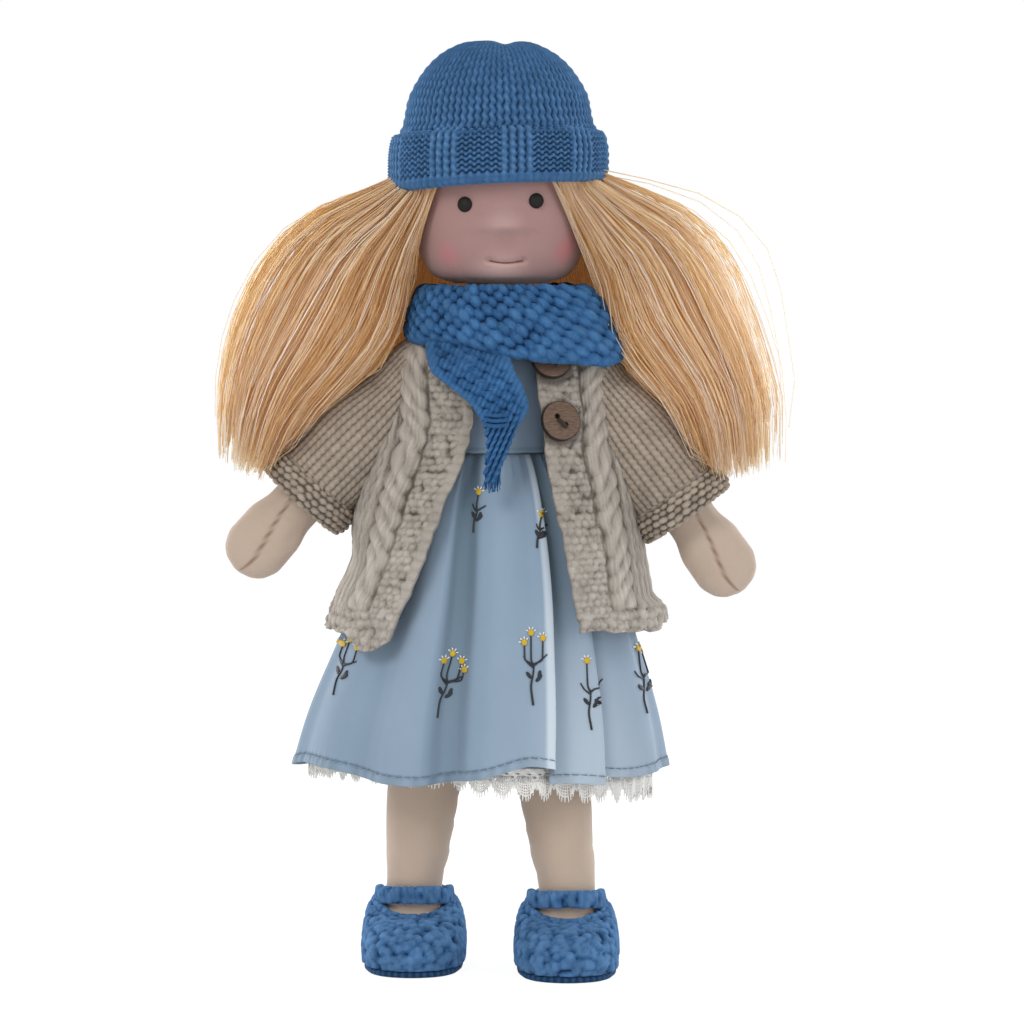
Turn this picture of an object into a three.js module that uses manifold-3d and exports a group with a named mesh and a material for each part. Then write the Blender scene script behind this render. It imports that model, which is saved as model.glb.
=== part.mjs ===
// A soft waldorf doll in a hat, scarf, cardigan, dress, petticoat and slippers.
// Millimetres, +Z up, facing -Y, origin on the floor under the doll. Left and right are the doll's own,
// so its left is +X.
import * as THREE from "three";
import { mergeVertices } from "three/addons/utils/BufferGeometryUtils.js";
import Module from "manifold-3d";

const wasm = await Module();
wasm.setup();

// Clearances between neighbouring pieces.
const gap = 0.4;
const layGap = 0.7;
const nodPlay = 0.7;

// Body, from the floor up.
const hipHeight = 150;
const waistRise = 80.5;
const waistHeight = hipHeight + waistRise;
const shoulderRise = 36.5;
const shoulderHeight = waistHeight + shoulderRise;
const torsoTopRise = 19;
const torsoTop = shoulderHeight + torsoTopRise;
const torsoHalfWidth = 34;
const torsoHalfDepth = 20;
const hipLean = -5;
const neckRadius = 14;
const neckWaistRadius = 11.5;
const neckWaistShares = [1 / 3, 2 / 3];
const neckLength = 22;
const nodHeight = torsoTop + neckLength;

// Head and face.
const headCentre = 1.3;
const headSeat = 1.5;
const headBottom = nodHeight - headSeat;
const headLength = 102.5;
const headTop = headBottom + headLength;
const headHalfWidth = 39.5;
const headHalfDepth = 40;
const noseRise = 25.5;
const noseHeight = headBottom + noseRise;
const noseReach = 3.2;
const noseHalfWidth = 10;
const noseHalfHeight = 6;
const eyeRise = 35.5;
const eyeHeight = headBottom + eyeRise;
const eyeSpacing = 31;
const eyeRadius = 3.3;
const eyeDome = 1.9;
const eyeShankRadius = 1;
const eyeShankLength = 4;
const mouthRise = 10.5;
const mouthHeight = headBottom + mouthRise;
const mouthHalfWidth = 8;
const mouthDip = 1.2;
const mouthThread = 0.5;

// Limbs.
const legBallRadius = 16.8;
const legSpacing = 44;
const legRadius = 16.6;
const ankleRadius = 12.6;
const ankleSpacing = 68.6;
const ankleCentre = -3.6;
const leftStep = 12;
const footHalfWidth = 18.5;
const footHalfHeight = 10;
const footReach = 41;
const hipSeamRadius = 16.4;
const shoulderBall = 9;
const armRadius = 13.5;
const handHalfWidth = 14;
const armLength = 121;
const rightShoulder = 36;
const leftShoulder = 40;
const rightSplayAngle = 42.5;
const leftSplayAngle = 35.3;

// Clothes.
const bodiceThickness = 1.2;
const bodiceRise = 10;
const bodiceTop = shoulderHeight + bodiceRise;
const armhole = 16.5;
const clothThickness = 0.9;
const hemDrop = 60;
const hemHeight = hipHeight - hemDrop;
const hemHalfWidth = 85;
const hemHalfDepth = 53;
const hemLean = -7;
const skirtEase = 3;
const foldDepth = 4.5;
const foldCount = 11;
const petticoatTopDrop = 4.5;
const petticoatTop = waistHeight - petticoatTopDrop;
const petticoatHemDrop = 1;
const petticoatHem = hemHeight - petticoatHemDrop;
const petticoatEase = 6.5;
const laceDrop = 8.5;
const laceFall = 4;
const laceLap = 4;
const petticoatRampShare = 0.35;
const petticoatFoldShare = 0.6;
const petticoatFlareShare = 0.8;
const petticoatLevelShares = [1, 0.7, 0.42, 0.25, 0.12, 0];
const laceLevelShares = [1, 0.5, 0];
const knitThickness = 3.5;
const cardiganHemDrop = 80.5;
const cardiganHem = waistHeight - cardiganHemDrop;
const cardiganNeckDrop = 2;
const cardiganTop = torsoTop - cardiganNeckDrop;
const cardiganHalfWidth = 76.5;
const cardiganHalfDepth = 57.5;
const cardiganEase = 1;
const cardiganShift = 2.5;
const sleeveThickness = 2.5;
const sleeveHeadRadius = 15;
const sleeveRadius = 20.5;
const sleeveLength = 78;
const sleeveTrim = 8;
const sleeveTrimAngle = 20;
const cuffRadius = 23.5;
const cuffWidth = 11;
const cuffSwell = 0.8;
const buttonRadius = 8.9;
const buttonThickness = 3;
const buttonEdge = 0.8;
const buttonHoleRadius = 1.3;
const buttonHoleOffset = 2.6;
const upperButtonRise = 4;
const lowerButtonDrop = 23;
const buttonHeights = [shoulderHeight + upperButtonRise, shoulderHeight - lowerButtonDrop];
const buttonPlaces = [23.5, 27.5];
const buttonLift = 0.3;
const threadRadius = 0.8;
const hatRise = 44.5;
const hatBottom = headBottom + hatRise;
const hatCrown = 7;
const hatTop = headTop + hatCrown;
const hatHalfWidth = 48.4;
const hatFall = 1.6;
const wigThickness = 1.2;
const wigFrontRise = 47.5;
const wigFrontHeight = headBottom + wigFrontRise;
const wigBackRise = 15.5;
const wigBackHeight = headBottom + wigBackRise;
const wigLowestShare = 0.1;
const hatLowestShare = 0.4;
const scarfTopDrop = 0.5;
const scarfTop = headBottom - scarfTopDrop;
const scarfThickness = 9;
const scarfHalfWidth = 47;
const scarfHalfDepth = 42;
const scarfCentre = 5;
const scarfCorner = 9;
const scarfSideDrop = 5;
const scarfSideHeight = torsoTop - scarfSideDrop;
const scarfFrontDrop = 9;
const scarfLean = 9;
const scarfCornerAngle = 5.75;
const scarfCornerSpreadAngle = 0.4;
const scarfFrontAngle = 5.2;
const scarfFrontSpreadAngle = 0.8;
const tailTopDrop = 1;
const tailTop = torsoTop - tailTopDrop;
const tailLength = 68;
const tailTip = tailTop - tailLength;
const tailThickness = 5;
const tailHalfWidth = 15;
const tailForward = 42;
const tailSwing = 2;
const tailCurl = 11;
const hairReach = 125;
const hairRise = 44.5;
const hairTop = headBottom + hairRise;
const hairLength = 131;
const hairTip = hairTop - hairLength;
const hairHalfDepth = 28;
const hairForward = -2;
const lockSteps = 10;
const backLockHalfWidth = 60;
const backLockHalfDepth = 8;
const backLockPlace = 44;
const backLockCurl = 20;
const backLockLap = 26;
const backLockRoundShare = 0.8;
const backLockShares = [
  [0, 0.8, 1.08],
  [0.12, 0.98, 1.08],
  [0.4, 1, 1.05],
  [0.7, 0.9, 1.02],
  [0.9, 0.75, 1],
  [1, 0.6, 0.97],
];

// Slippers.
const soleThickness = 3;
const shoeHalfWidth = 23;
const shoeHeel = 22.5;
const shoeToe = 45.5;
const shoeHeight = 34;
const throatHalfWidth = 15.5;
const throatFront = 13;
const throatBack = 18.5;
const solePlay = 0.3;

// Smoothness: points round a limb, a garment and a lock of hair.
const limbSides = 16;
const clothSides = 48;
const liningSides = 36;
const bodySides = 20;
const lockSides = 12;
const ballSides = 14;
const shoeArc = 10;
const beadSides = 10;
const buttonSides = 18;
const buttonHoleSides = 8;
const blankSides = 24;
const neckArc = 4;
const shoulderArc = 4;
const beadArc = 3;
const mouthSteps = 10;
const threadSides = 6;
const tailSides = 12;
const scarfSides = 30;
const weldDistance = 1e-4;
const backColumns = 16;
const frontColumns = 6;
const overrun = 20;

const colours = {
  skin: 0xcdb9a8,
  face: 0xa88583,
  hair: 0xc99f6f,
  hat: 0x3f74b0,
  scarf: 0x346aa8,
  knit: 0xb5ab9f,
  dress: 0x9fb8cf,
  lace: 0xf2f1ea,
  button: 0x6f5c4c,
  thread: 0x2a1d17,
  slipper: 0x3f76b5,
};

const finish = (colour, roughness = 0.95) =>
  new THREE.MeshStandardMaterial({ color: colours[colour], roughness, metalness: 0 });

const doll = new THREE.Group();

function place(name, geometry, colour, group = doll, roughness = 0.95) {
  const mesh = new THREE.Mesh(geometry, finish(colour, roughness));
  mesh.name = name;
  group.add(mesh);
  return mesh;
}

// Smooth reading of a table of rows [share along, value, value ...].
function readTable(rows, share, column) {
  const last = rows.length - 1;
  if (share <= rows[0][0]) return rows[0][column];
  if (share >= rows[last][0]) return rows[last][column];
  const i = rows.findIndex((row) => row[0] > share) - 1;
  const slope = (a, b) => (rows[b][column] - rows[a][column]) / (rows[b][0] - rows[a][0]);
  const before = i > 0 ? slope(i - 1, i) : slope(i, i + 1);
  const here = slope(i, i + 1);
  const after = i + 1 < last ? slope(i + 1, i + 2) : here;
  const ease = (p, q) => (p * q > 0 ? (2 * p * q) / (p + q) : 0);
  const span = rows[i + 1][0] - rows[i][0];
  const t = (share - rows[i][0]) / span;
  const start = i > 0 ? ease(before, here) : here;
  const end = i + 1 < last ? ease(here, after) : here;
  return (
    (2 * t ** 3 - 3 * t ** 2 + 1) * rows[i][column] +
    (t ** 3 - 2 * t ** 2 + t) * span * start +
    (3 * t ** 2 - 2 * t ** 3) * rows[i + 1][column] +
    (t ** 3 - t ** 2) * span * end
  );
}

const steps = (count) => Array.from({ length: count + 1 }, (_, i) => i / count);
const turn = (count) => Array.from({ length: count }, (_, i) => (2 * Math.PI * i) / count);
const mix = (a, b, t) => a + (b - a) * t;

function meshOf(points, faces) {
  const geometry = new THREE.BufferGeometry();
  geometry.setAttribute(
    "position",
    new THREE.Float32BufferAttribute(points.flatMap((p) => [p.x, p.y, p.z]), 3),
  );
  geometry.setIndex(faces);
  return geometry;
}

const middle = (ring) =>
  ring.reduce((sum, p) => sum.add(p), new THREE.Vector3()).divideScalar(ring.length);

function stitchRings(faces, lower, upper, count, closed, flip) {
  const end = closed ? count : count - 1;
  for (let i = 0; i < end; i++) {
    const j = (i + 1) % count;
    const [a, b, c, d] = [lower + i, lower + j, upper + j, upper + i];
    if (flip) faces.push(a, c, b, a, d, c);
    else faces.push(a, b, c, a, c, d);
  }
}

// A closed stuffed form over rings that run anticlockwise seen from the last ring's end.
function stuffed(rings) {
  const count = rings[0].length;
  const points = rings.flat();
  const faces = [];
  for (let r = 0; r + 1 < rings.length; r++)
    stitchRings(faces, r * count, (r + 1) * count, count, true, false);
  const top = (rings.length - 1) * count;
  const low = points.push(middle(rings[0])) - 1;
  const high = points.push(middle(rings[rings.length - 1])) - 1;
  for (let i = 0; i < count; i++) {
    const j = (i + 1) % count;
    faces.push(low, j, i, high, top + i, top + j);
  }
  return meshOf(points, faces);
}

// A cloth tube, its outer and inner rings joined at both edges.
function clothTube(outer, inner) {
  const count = outer[0].length;
  const points = [...outer.flat(), ...inner.flat()];
  const inside = outer.length * count;
  const faces = [];
  for (let r = 0; r + 1 < outer.length; r++) {
    stitchRings(faces, r * count, (r + 1) * count, count, true, false);
    stitchRings(faces, inside + r * count, inside + (r + 1) * count, count, true, true);
  }
  const last = (outer.length - 1) * count;
  stitchRings(faces, inside, 0, count, true, false);
  stitchRings(faces, last, inside + last, count, true, false);
  return meshOf(points, faces);
}

// An open cloth panel between an outer and an inner grid of points.
function clothPanel(outer, inner) {
  const rows = outer.length;
  const count = outer[0].length;
  const points = [...outer.flat(), ...inner.flat()];
  const inside = rows * count;
  const faces = [];
  for (let r = 0; r + 1 < rows; r++) {
    const [low, high] = [r * count, (r + 1) * count];
    stitchRings(faces, low, high, count, false, false);
    stitchRings(faces, inside + low, inside + high, count, false, true);
    const right = [low + count - 1, inside + low + count - 1, inside + high + count - 1, high + count - 1];
    faces.push(right[0], right[1], right[2], right[0], right[2], right[3]);
    const left = [low, high, inside + high, inside + low];
    faces.push(left[0], left[1], left[2], left[0], left[2], left[3]);
  }
  const last = (rows - 1) * count;
  stitchRings(faces, inside, 0, count, false, false);
  stitchRings(faces, last, inside + last, count, false, false);
  return meshOf(points, faces);
}

// A closed cup over outer and inner rings, both shut at the last ring.
function knittedCup(outer, inner) {
  const count = outer[0].length;
  const points = [...outer.flat(), ...inner.flat()];
  const inside = outer.length * count;
  const faces = [];
  for (let r = 0; r + 1 < outer.length; r++)
    stitchRings(faces, r * count, (r + 1) * count, count, true, false);
  for (let r = 0; r + 1 < inner.length; r++)
    stitchRings(faces, inside + r * count, inside + (r + 1) * count, count, true, true);
  stitchRings(faces, inside, 0, count, true, false);
  const crown = (outer.length - 1) * count;
  const lining = inside + (inner.length - 1) * count;
  const top = points.push(middle(outer[outer.length - 1])) - 1;
  const under = points.push(middle(inner[inner.length - 1])) - 1;
  for (let i = 0; i < count; i++) {
    const j = (i + 1) % count;
    faces.push(top, crown + i, crown + j, under, lining + j, lining + i);
  }
  return meshOf(points, faces);
}

function toSolid(geometry, matrix = new THREE.Matrix4()) {
  const copy = geometry.clone();
  copy.deleteAttribute("normal");
  copy.deleteAttribute("uv");
  copy.applyMatrix4(matrix);
  const merged = mergeVertices(copy, weldDistance);
  return new wasm.Manifold(
    new wasm.Mesh({
      numProp: 3,
      vertProperties: merged.attributes.position.array,
      triVerts: new Uint32Array(merged.index.array),
    }),
  );
}

// The main body of a cut solid, as geometry.
function toGeometry(solid) {
  const bodies = solid.decompose();
  const main = bodies.reduce((best, body) => (body.volume() > best.volume() ? body : best));
  const mesh = main.getMesh();
  const geometry = new THREE.BufferGeometry();
  geometry.setAttribute("position", new THREE.Float32BufferAttribute(mesh.vertProperties, 3));
  geometry.setIndex(Array.from(mesh.triVerts));
  return geometry;
}

const ball = (radius, x, y, z) =>
  new THREE.SphereGeometry(radius, ballSides, ballSides / 2).translate(x, y, z);

function oval(sides, x, y, z, halfWidth, halfDepth) {
  return turn(sides).map(
    (angle) =>
      new THREE.Vector3(x + halfWidth * Math.cos(angle), y + halfDepth * Math.sin(angle), z),
  );
}

// Rings square to a path; wide is the radius along X, deep the radius across it.
function pathRings(sides, stations) {
  return stations.map((station, i) => {
    const before = stations[Math.max(i - 1, 0)].at;
    const after = stations[Math.min(i + 1, stations.length - 1)].at;
    const along = after.clone().sub(before).normalize();
    const across = new THREE.Vector3(1, 0, 0);
    const through = along.clone().cross(across).normalize();
    return turn(sides).map((angle) =>
      station.at
        .clone()
        .addScaledVector(across, station.wide * Math.cos(angle))
        .addScaledVector(through, station.deep * Math.sin(angle)),
    );
  });
}

// Torso: a stuffed bag that leans a little towards its hips.
const torsoBottom = hipHeight + legBallRadius + gap;
const torsoShares = [
  [0, 0.62, 0.66],
  [0.03, 0.86, 0.86],
  [0.12, 1, 1],
  [0.3, 0.96, 1],
  [0.5, 0.88, 0.94],
  [0.7, 0.88, 1],
  [0.85, 0.84, 0.92],
  [0.94, 0.66, 0.8],
  [1, 0.46, 0.7],
];

const torsoLevels = torsoShares.map(([share]) => mix(torsoBottom, torsoTop, share));

function torsoAt(height) {
  const share = (height - torsoBottom) / (torsoTop - torsoBottom);
  return {
    x: hipLean * (1 - Math.min(Math.max(share, 0), 1)),
    halfWidth: torsoHalfWidth * readTable(torsoShares, share, 1),
    halfDepth: torsoHalfDepth * readTable(torsoShares, share, 2),
  };
}

function torsoRing(height, grow, sides = bodySides) {
  const { x, halfWidth, halfDepth } = torsoAt(height);
  return oval(sides, x, 0, height, halfWidth + grow, halfDepth + grow);
}

const sides = [
  {
    name: "right",
    sign: -1,
    shoulder: rightShoulder,
    splay: rightSplayAngle,
    hip: hipLean - legSpacing / 2,
    ankle: ankleCentre - ankleSpacing / 2,
    step: 0,
  },
  {
    name: "left",
    sign: 1,
    shoulder: leftShoulder,
    splay: leftSplayAngle,
    hip: hipLean + legSpacing / 2,
    ankle: ankleCentre + ankleSpacing / 2,
    step: leftStep,
  },
];

function makeTorso() {
  const rings = torsoLevels.map((height) => torsoRing(height, 0));
  let solid = toSolid(stuffed(rings));
  for (const side of sides)
    solid = solid.subtract(
      toSolid(ball(shoulderBall + gap, side.sign * side.shoulder, 0, shoulderHeight)),
    );
  place("torso", toGeometry(solid), "skin");
}

// Neck: a firm stalk with a round top on which the head nods.
function neckForm(grow) {
  const base = torsoTop + gap;
  const profile = [
    new THREE.Vector2(0, base),
    new THREE.Vector2(neckRadius + grow, base),
    ...neckWaistShares.map(
      (share) => new THREE.Vector2(neckWaistRadius + grow, mix(base, nodHeight, share)),
    ),
  ];
  for (const t of steps(neckArc)) {
    const angle = (t * Math.PI) / 2;
    const radius = neckRadius + grow;
    profile.push(
      new THREE.Vector2(radius * Math.cos(angle), nodHeight + radius * Math.sin(angle)),
    );
  }
  profile[profile.length - 1].x = 0;
  return new THREE.LatheGeometry(profile, limbSides).rotateX(Math.PI / 2);
}

const makeNeck = () => place("neck", neckForm(0), "skin");

// Head: a wound wool ball under skin, with cheeks, a square chin and a small nose.
const headShares = [
  [0, 0.52, 0.45],
  [0.03, 0.74, 0.66],
  [0.08, 0.86, 0.8],
  [0.15, 0.935, 0.9],
  [0.25, 0.98, 0.97],
  [0.36, 1, 1],
  [0.5, 0.985, 1],
  [0.6, 0.95, 0.965],
  [0.68, 0.9, 0.92],
  [0.8, 0.78, 0.81],
  [0.893, 0.61, 0.63],
  [0.95, 0.45, 0.47],
  [0.98, 0.31, 0.33],
  [1, 0.1, 0.1],
];

function headAt(height) {
  const share = (height - headBottom) / (headTop - headBottom);
  return {
    halfWidth: headHalfWidth * readTable(headShares, share, 1),
    halfDepth: headHalfDepth * readTable(headShares, share, 2),
  };
}

function headPoint(angle, height, grow) {
  const { halfWidth, halfDepth } = headAt(height);
  const x = headCentre + (halfWidth + grow) * Math.cos(angle);
  const nose = Math.exp(
    -(((x - headCentre) / noseHalfWidth) ** 2) - ((height - noseHeight) / noseHalfHeight) ** 2,
  );
  const front = Math.sin(angle) < 0 ? noseReach * nose : 0;
  return new THREE.Vector3(x, (halfDepth + grow) * Math.sin(angle) - front, height);
}

// Rings of the head let out by grow; over stretches them upwards past the crown by the same amount.
function headRings(grow, levels = headLevelShares) {
  return levels.map((share) => {
    const height = mix(headBottom, headTop, share);
    return turn(bodySides).map((angle) => {
      const point = headPoint(angle, height, grow);
      point.z += grow * share;
      return point;
    });
  });
}

const headLevelShares = [
  0, 0.03, 0.08, 0.15, 0.21, 0.25, 0.29, 0.36, 0.46, 0.57, 0.68, 0.78, 0.87, 0.94, 0.98, 1,
];

function headFront(x, height) {
  const { halfWidth, halfDepth } = headAt(height);
  const across = Math.min(Math.max((x - headCentre) / halfWidth, -1), 1);
  return headPoint(-Math.acos(across), height, 0).y;
}

function makeHead() {
  let solid = toSolid(stuffed(headRings(0)));
  solid = solid.subtract(toSolid(neckForm(nodPlay)));
  const eyes = [];
  for (const side of sides) {
    const x = headCentre + (side.sign * eyeSpacing) / 2;
    const group = new THREE.Group();
    group.position.set(x, headFront(x, eyeHeight), eyeHeight);
    const rise = headFront(x + eyeRadius, eyeHeight) - headFront(x - eyeRadius, eyeHeight);
    group.rotation.z = Math.atan2(rise, 2 * eyeRadius);
    doll.add(group);
    group.updateMatrixWorld(true);
    const bed = new THREE.CylinderGeometry(eyeRadius + gap, eyeRadius + gap, 2 * eyeDome, limbSides);
    bed.translate(0, -eyeDome, 0);
    const shank = new THREE.CylinderGeometry(
      eyeShankRadius + gap,
      eyeShankRadius + gap,
      2 * (eyeShankLength + gap),
      buttonHoleSides,
    );
    solid = solid.subtract(toSolid(bed, group.matrixWorld));
    solid = solid.subtract(toSolid(shank, group.matrixWorld));
    eyes.push({ side, group });
  }
  place("head", toGeometry(solid), "face");
  for (const { side, group } of eyes) makeEye(side, group);
}

// An eye: a domed black bead with a shank that sits in the face.
function makeEye(side, group) {
  const profile = [
    new THREE.Vector2(0, eyeShankLength),
    new THREE.Vector2(eyeShankRadius, eyeShankLength),
    new THREE.Vector2(eyeShankRadius, -gap),
    new THREE.Vector2(eyeRadius, -gap),
  ];
  for (const t of steps(beadArc).slice(1)) {
    const angle = (t * Math.PI) / 2;
    profile.push(
      new THREE.Vector2(eyeRadius * Math.cos(angle), -gap - eyeDome * Math.sin(angle)),
    );
  }
  profile[profile.length - 1].x = 0;
  profile.reverse();
  place(`${side.name}_eye`, new THREE.LatheGeometry(profile, beadSides), "thread", group, 0.25);
}

// The mouth: one thread that lies along a shallow smile.
function makeMouth() {
  const points = steps(threadSides).map((t) => {
    const x = headCentre + mix(-mouthHalfWidth, mouthHalfWidth, t);
    const z = mouthHeight - mouthDip * (1 - (2 * t - 1) ** 2);
    return new THREE.Vector3(x, headFront(x, z) - mouthThread - gap, z);
  });
  const section = new THREE.Shape(
    turn(threadSides).map(
      (angle) => new THREE.Vector2(mouthThread * Math.cos(angle), mouthThread * Math.sin(angle)),
    ),
  );
  const thread = new THREE.ExtrudeGeometry(section, {
    steps: mouthSteps,
    extrudePath: new THREE.CatmullRomCurve3(points),
  });
  place("mouth_stitch", thread, "thread");
}

// Arms: stuffed tubes with mitten hands, hung on the gathered shoulder ends.
const armShares = [
  [0.05, 0.66, 0.66],
  [0.13, 0.93, 0.9],
  [0.33, 1, 1],
  [0.58, 0.93, 0.9],
  [0.7, 0.86, 0.74],
  [0.8, 1, 0.7],
  [0.89, 1.03, 0.68],
  [0.95, 0.86, 0.56],
  [0.985, 0.52, 0.36],
  [1, 0.2, 0.16],
];
const wristShare = 0.7;

function makeArm(side, group) {
  const rings = armShares
    .map(([along, wide, deep]) => {
      const reach = along > wristShare ? handHalfWidth : armRadius;
      return oval(limbSides, 0, 0, -along * armLength, wide * reach, deep * armRadius);
    })
    .reverse();
  const socket = ball(shoulderBall + gap, 0, 0, 0);
  const solid = toSolid(stuffed(rings)).subtract(toSolid(socket));
  place(`${side.name}_arm`, toGeometry(solid), "skin", group);
}

// Sleeves: knitted tubes with a round head at the shoulder and a turned-up cuff.
const sleeveShares = [
  [0, 1, 0],
  [0.12, 1, 0],
  [0.3, 0.45, 0.55],
  [0.55, 0, 1],
  [1, 0, 1],
];

function sleeveRadiusAt(distance) {
  const share = distance / sleeveLength;
  return (
    sleeveHeadRadius * readTable(sleeveShares, share, 1) +
    sleeveRadius * readTable(sleeveShares, share, 2)
  );
}

const sleeveStationShares = [0.14, 0.26, 0.4, 0.58, 0.78];
const shoulderTurnShare = -0.42;
const sleeveDepthShare = 0.8;
const sleeveMouthShare = 0.93;

// A sleeve is a little flat: its depth is a share of its width and the rest comes from the shoulder.
const sleeveDepth = (radius) => mix(sleeveHeadRadius, radius, sleeveDepthShare);

function sleeveRings(inset, withCuff) {
  const rings = [];
  const shoulderRadius = sleeveHeadRadius - inset;
  for (const t of steps(shoulderArc)) {
    const angle = mix(shoulderTurnShare, 0, t) * Math.PI;
    rings.push([-shoulderRadius * Math.sin(angle), shoulderRadius * Math.cos(angle)]);
  }
  for (const share of sleeveStationShares)
    rings.push([-share * sleeveLength, sleeveRadiusAt(share * sleeveLength) - inset]);
  const cuffTop = sleeveLength - cuffWidth;
  if (withCuff) {
    const grow = Math.max(-inset, 0);
    rings.push([-(cuffTop - grow), sleeveRadius - inset]);
    rings.push([-(cuffTop - grow), cuffRadius - inset]);
    rings.push([-(cuffTop + sleeveLength) / 2, cuffRadius + cuffSwell - inset]);
    rings.push([-(sleeveLength + grow), cuffRadius - inset]);
  } else {
    rings.push([-cuffTop, sleeveRadius - inset]);
    rings.push([-sleeveLength, sleeveRadius - inset]);
  }
  return rings
    .map(([z, radius]) => oval(limbSides, 0, 0, z, radius, sleeveDepth(radius)))
    .reverse();
}

function sleeveTrimmer(side, clearance) {
  const size = 2 * cuffRadius + overrun;
  const block = new THREE.BoxGeometry(size, size, size);
  const distance = sleeveTrim - clearance;
  block.translate(-side.sign * (size / 2 - distance), 0, 0);
  const angle = THREE.MathUtils.degToRad(side.sign * sleeveTrimAngle);
  const matrix = new THREE.Matrix4().makeRotationY(angle);
  matrix.setPosition(side.sign * side.shoulder, 0, shoulderHeight);
  return toSolid(block, matrix);
}

// The filled outer form of a sleeve in the doll's frame, let out by grow.
function sleeveEnvelope(side, grow) {
  return toSolid(stuffed(sleeveRings(-grow, true)), side.group.matrixWorld).subtract(
    sleeveTrimmer(side, grow),
  );
}

function makeSleeve(side) {
  const outer = toSolid(stuffed(sleeveRings(0, true)), side.group.matrixWorld);
  const bore = toSolid(stuffed(sleeveRings(sleeveThickness, false)), side.group.matrixWorld);
  const mouth = new THREE.CylinderGeometry(
    sleeveRadius - sleeveThickness,
    sleeveRadius - sleeveThickness,
    overrun,
    limbSides,
  );
  mouth.rotateX(Math.PI / 2);
  mouth.scale(1, sleeveMouthShare, 1);
  mouth.translate(0, 0, -sleeveLength - overrun / 2 + gap);
  const solid = outer
    .subtract(bore)
    .subtract(toSolid(mouth, side.group.matrixWorld))
    .subtract(sleeveTrimmer(side, 0));
  place(`${side.name}_sleeve`, toGeometry(solid), "knit");
}

function makeArms() {
  for (const side of sides) {
    const group = new THREE.Group();
    group.position.set(side.sign * side.shoulder, 0, shoulderHeight);
    group.rotation.y = THREE.MathUtils.degToRad(-side.sign * side.splay);
    doll.add(group);
    group.updateMatrixWorld(true);
    side.group = group;
    place(`${side.name}_shoulder_seam`, ball(shoulderBall, 0, 0, 0), "skin", group);
    makeArm(side, group);
    makeSleeve(side);
  }
}

// Legs: a round hip end, a long thigh and calf, and a foot turned forwards.
const legShares = [
  [0.066, 0.94],
  [0.15, 0.91],
  [0.29, 0.965],
  [0.5, 1],
  [0.62, 0.975],
];
const hipRiseShares = [0.97, 0.85, 0.6, 0.3, 0];
const shinShare = 0.8;
// Foot rows: place forwards, rise over the floor, half-width and half-height, as shares of the foot.
const footShares = [
  [0.02, 1.85, 0.82, 1.42],
  [-0.16, 1.25, 0.94, 1.1],
  [-0.42, 0.86, 0.97, 0.86],
  [-0.68, 0.76, 0.88, 0.74],
  [-0.84, 0.66, 0.62, 0.52],
  [-0.92, 0.6, 0.25, 0.24],
];

function legStations(side, grow) {
  const ankleHeight = shoeHeight;
  const drop = hipHeight - ankleHeight;
  const along = (t, y, z) => new THREE.Vector3(mix(side.hip, side.ankle, t), y - side.step * t, z);
  const stations = [];
  for (const t of hipRiseShares) {
    const rise = legBallRadius * t;
    const radius = Math.sqrt(legBallRadius ** 2 - rise ** 2);
    stations.push({ at: along(0, 0, hipHeight + rise), wide: radius + grow, deep: radius + grow });
  }
  for (const [t, share] of legShares)
    stations.push({
      at: along(t, 0, hipHeight - t * drop),
      wide: legRadius * share + grow,
      deep: legRadius * share + grow,
    });
  const mid = (legRadius + ankleRadius) / 2;
  const shin = along(shinShare, 0, hipHeight - shinShare * drop);
  stations.push({ at: shin, wide: mid + grow, deep: mid + grow });
  stations.push({ at: along(1, 0, ankleHeight), wide: ankleRadius + grow, deep: ankleRadius + grow });
  const floor = soleThickness + gap;
  for (const [forward, rise, wide, deep] of footShares)
    stations.push({
      at: along(1, forward * footReach, floor + rise * footHalfHeight),
      wide: wide * footHalfWidth + grow,
      deep: deep * footHalfHeight + grow,
    });
  return stations;
}

function legSolid(side, grow) {
  const flat = new THREE.BoxGeometry(hipHeight, hipHeight, hipHeight);
  flat.translate(0, 0, soleThickness + gap - grow - hipHeight / 2);
  return toSolid(stuffed(pathRings(limbSides, legStations(side, grow)))).subtract(toSolid(flat));
}

function makeLegs() {
  for (const side of sides) place(`${side.name}_leg`, toGeometry(legSolid(side, 0)), "skin");
  const width = legSpacing - 2 * legBallRadius - 2 * gap;
  const seam = new THREE.CylinderGeometry(hipSeamRadius, hipSeamRadius, width, limbSides);
  seam.rotateZ(Math.PI / 2);
  seam.translate(hipLean, 0, hipHeight);
  place("hip_seam", seam, "skin");
}

// Slippers: a knitted upper over a flat sole.
const shoeShares = [
  [-1, 0.12, 0.87],
  [-0.86, 0.62, 0.96],
  [-0.55, 0.93, 1],
  [-0.1, 1, 0.96],
  [0.2, 1, 0.84],
  [0.45, 0.98, 0.75],
  [0.7, 0.88, 0.63],
  [0.87, 0.68, 0.5],
  [0.96, 0.42, 0.36],
  [1, 0.14, 0.24],
];

const shoeRoundShare = 0.8;

function shoeRing(side, forward, wide, tall) {
  const length = forward < 0 ? shoeHeel : shoeToe;
  const y = -forward * length - side.step;
  const base = soleThickness + solePlay;
  const points = [];
  for (const t of steps(shoeArc)) {
    const angle = t * Math.PI;
    const x = Math.sign(Math.cos(angle)) * Math.abs(Math.cos(angle)) ** shoeRoundShare;
    const z = Math.sin(angle) ** shoeRoundShare;
    points.push(
      new THREE.Vector3(
        side.ankle + wide * shoeHalfWidth * x,
        y,
        base + (tall * shoeHeight - base) * z,
      ),
    );
  }
  return points;
}

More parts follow.
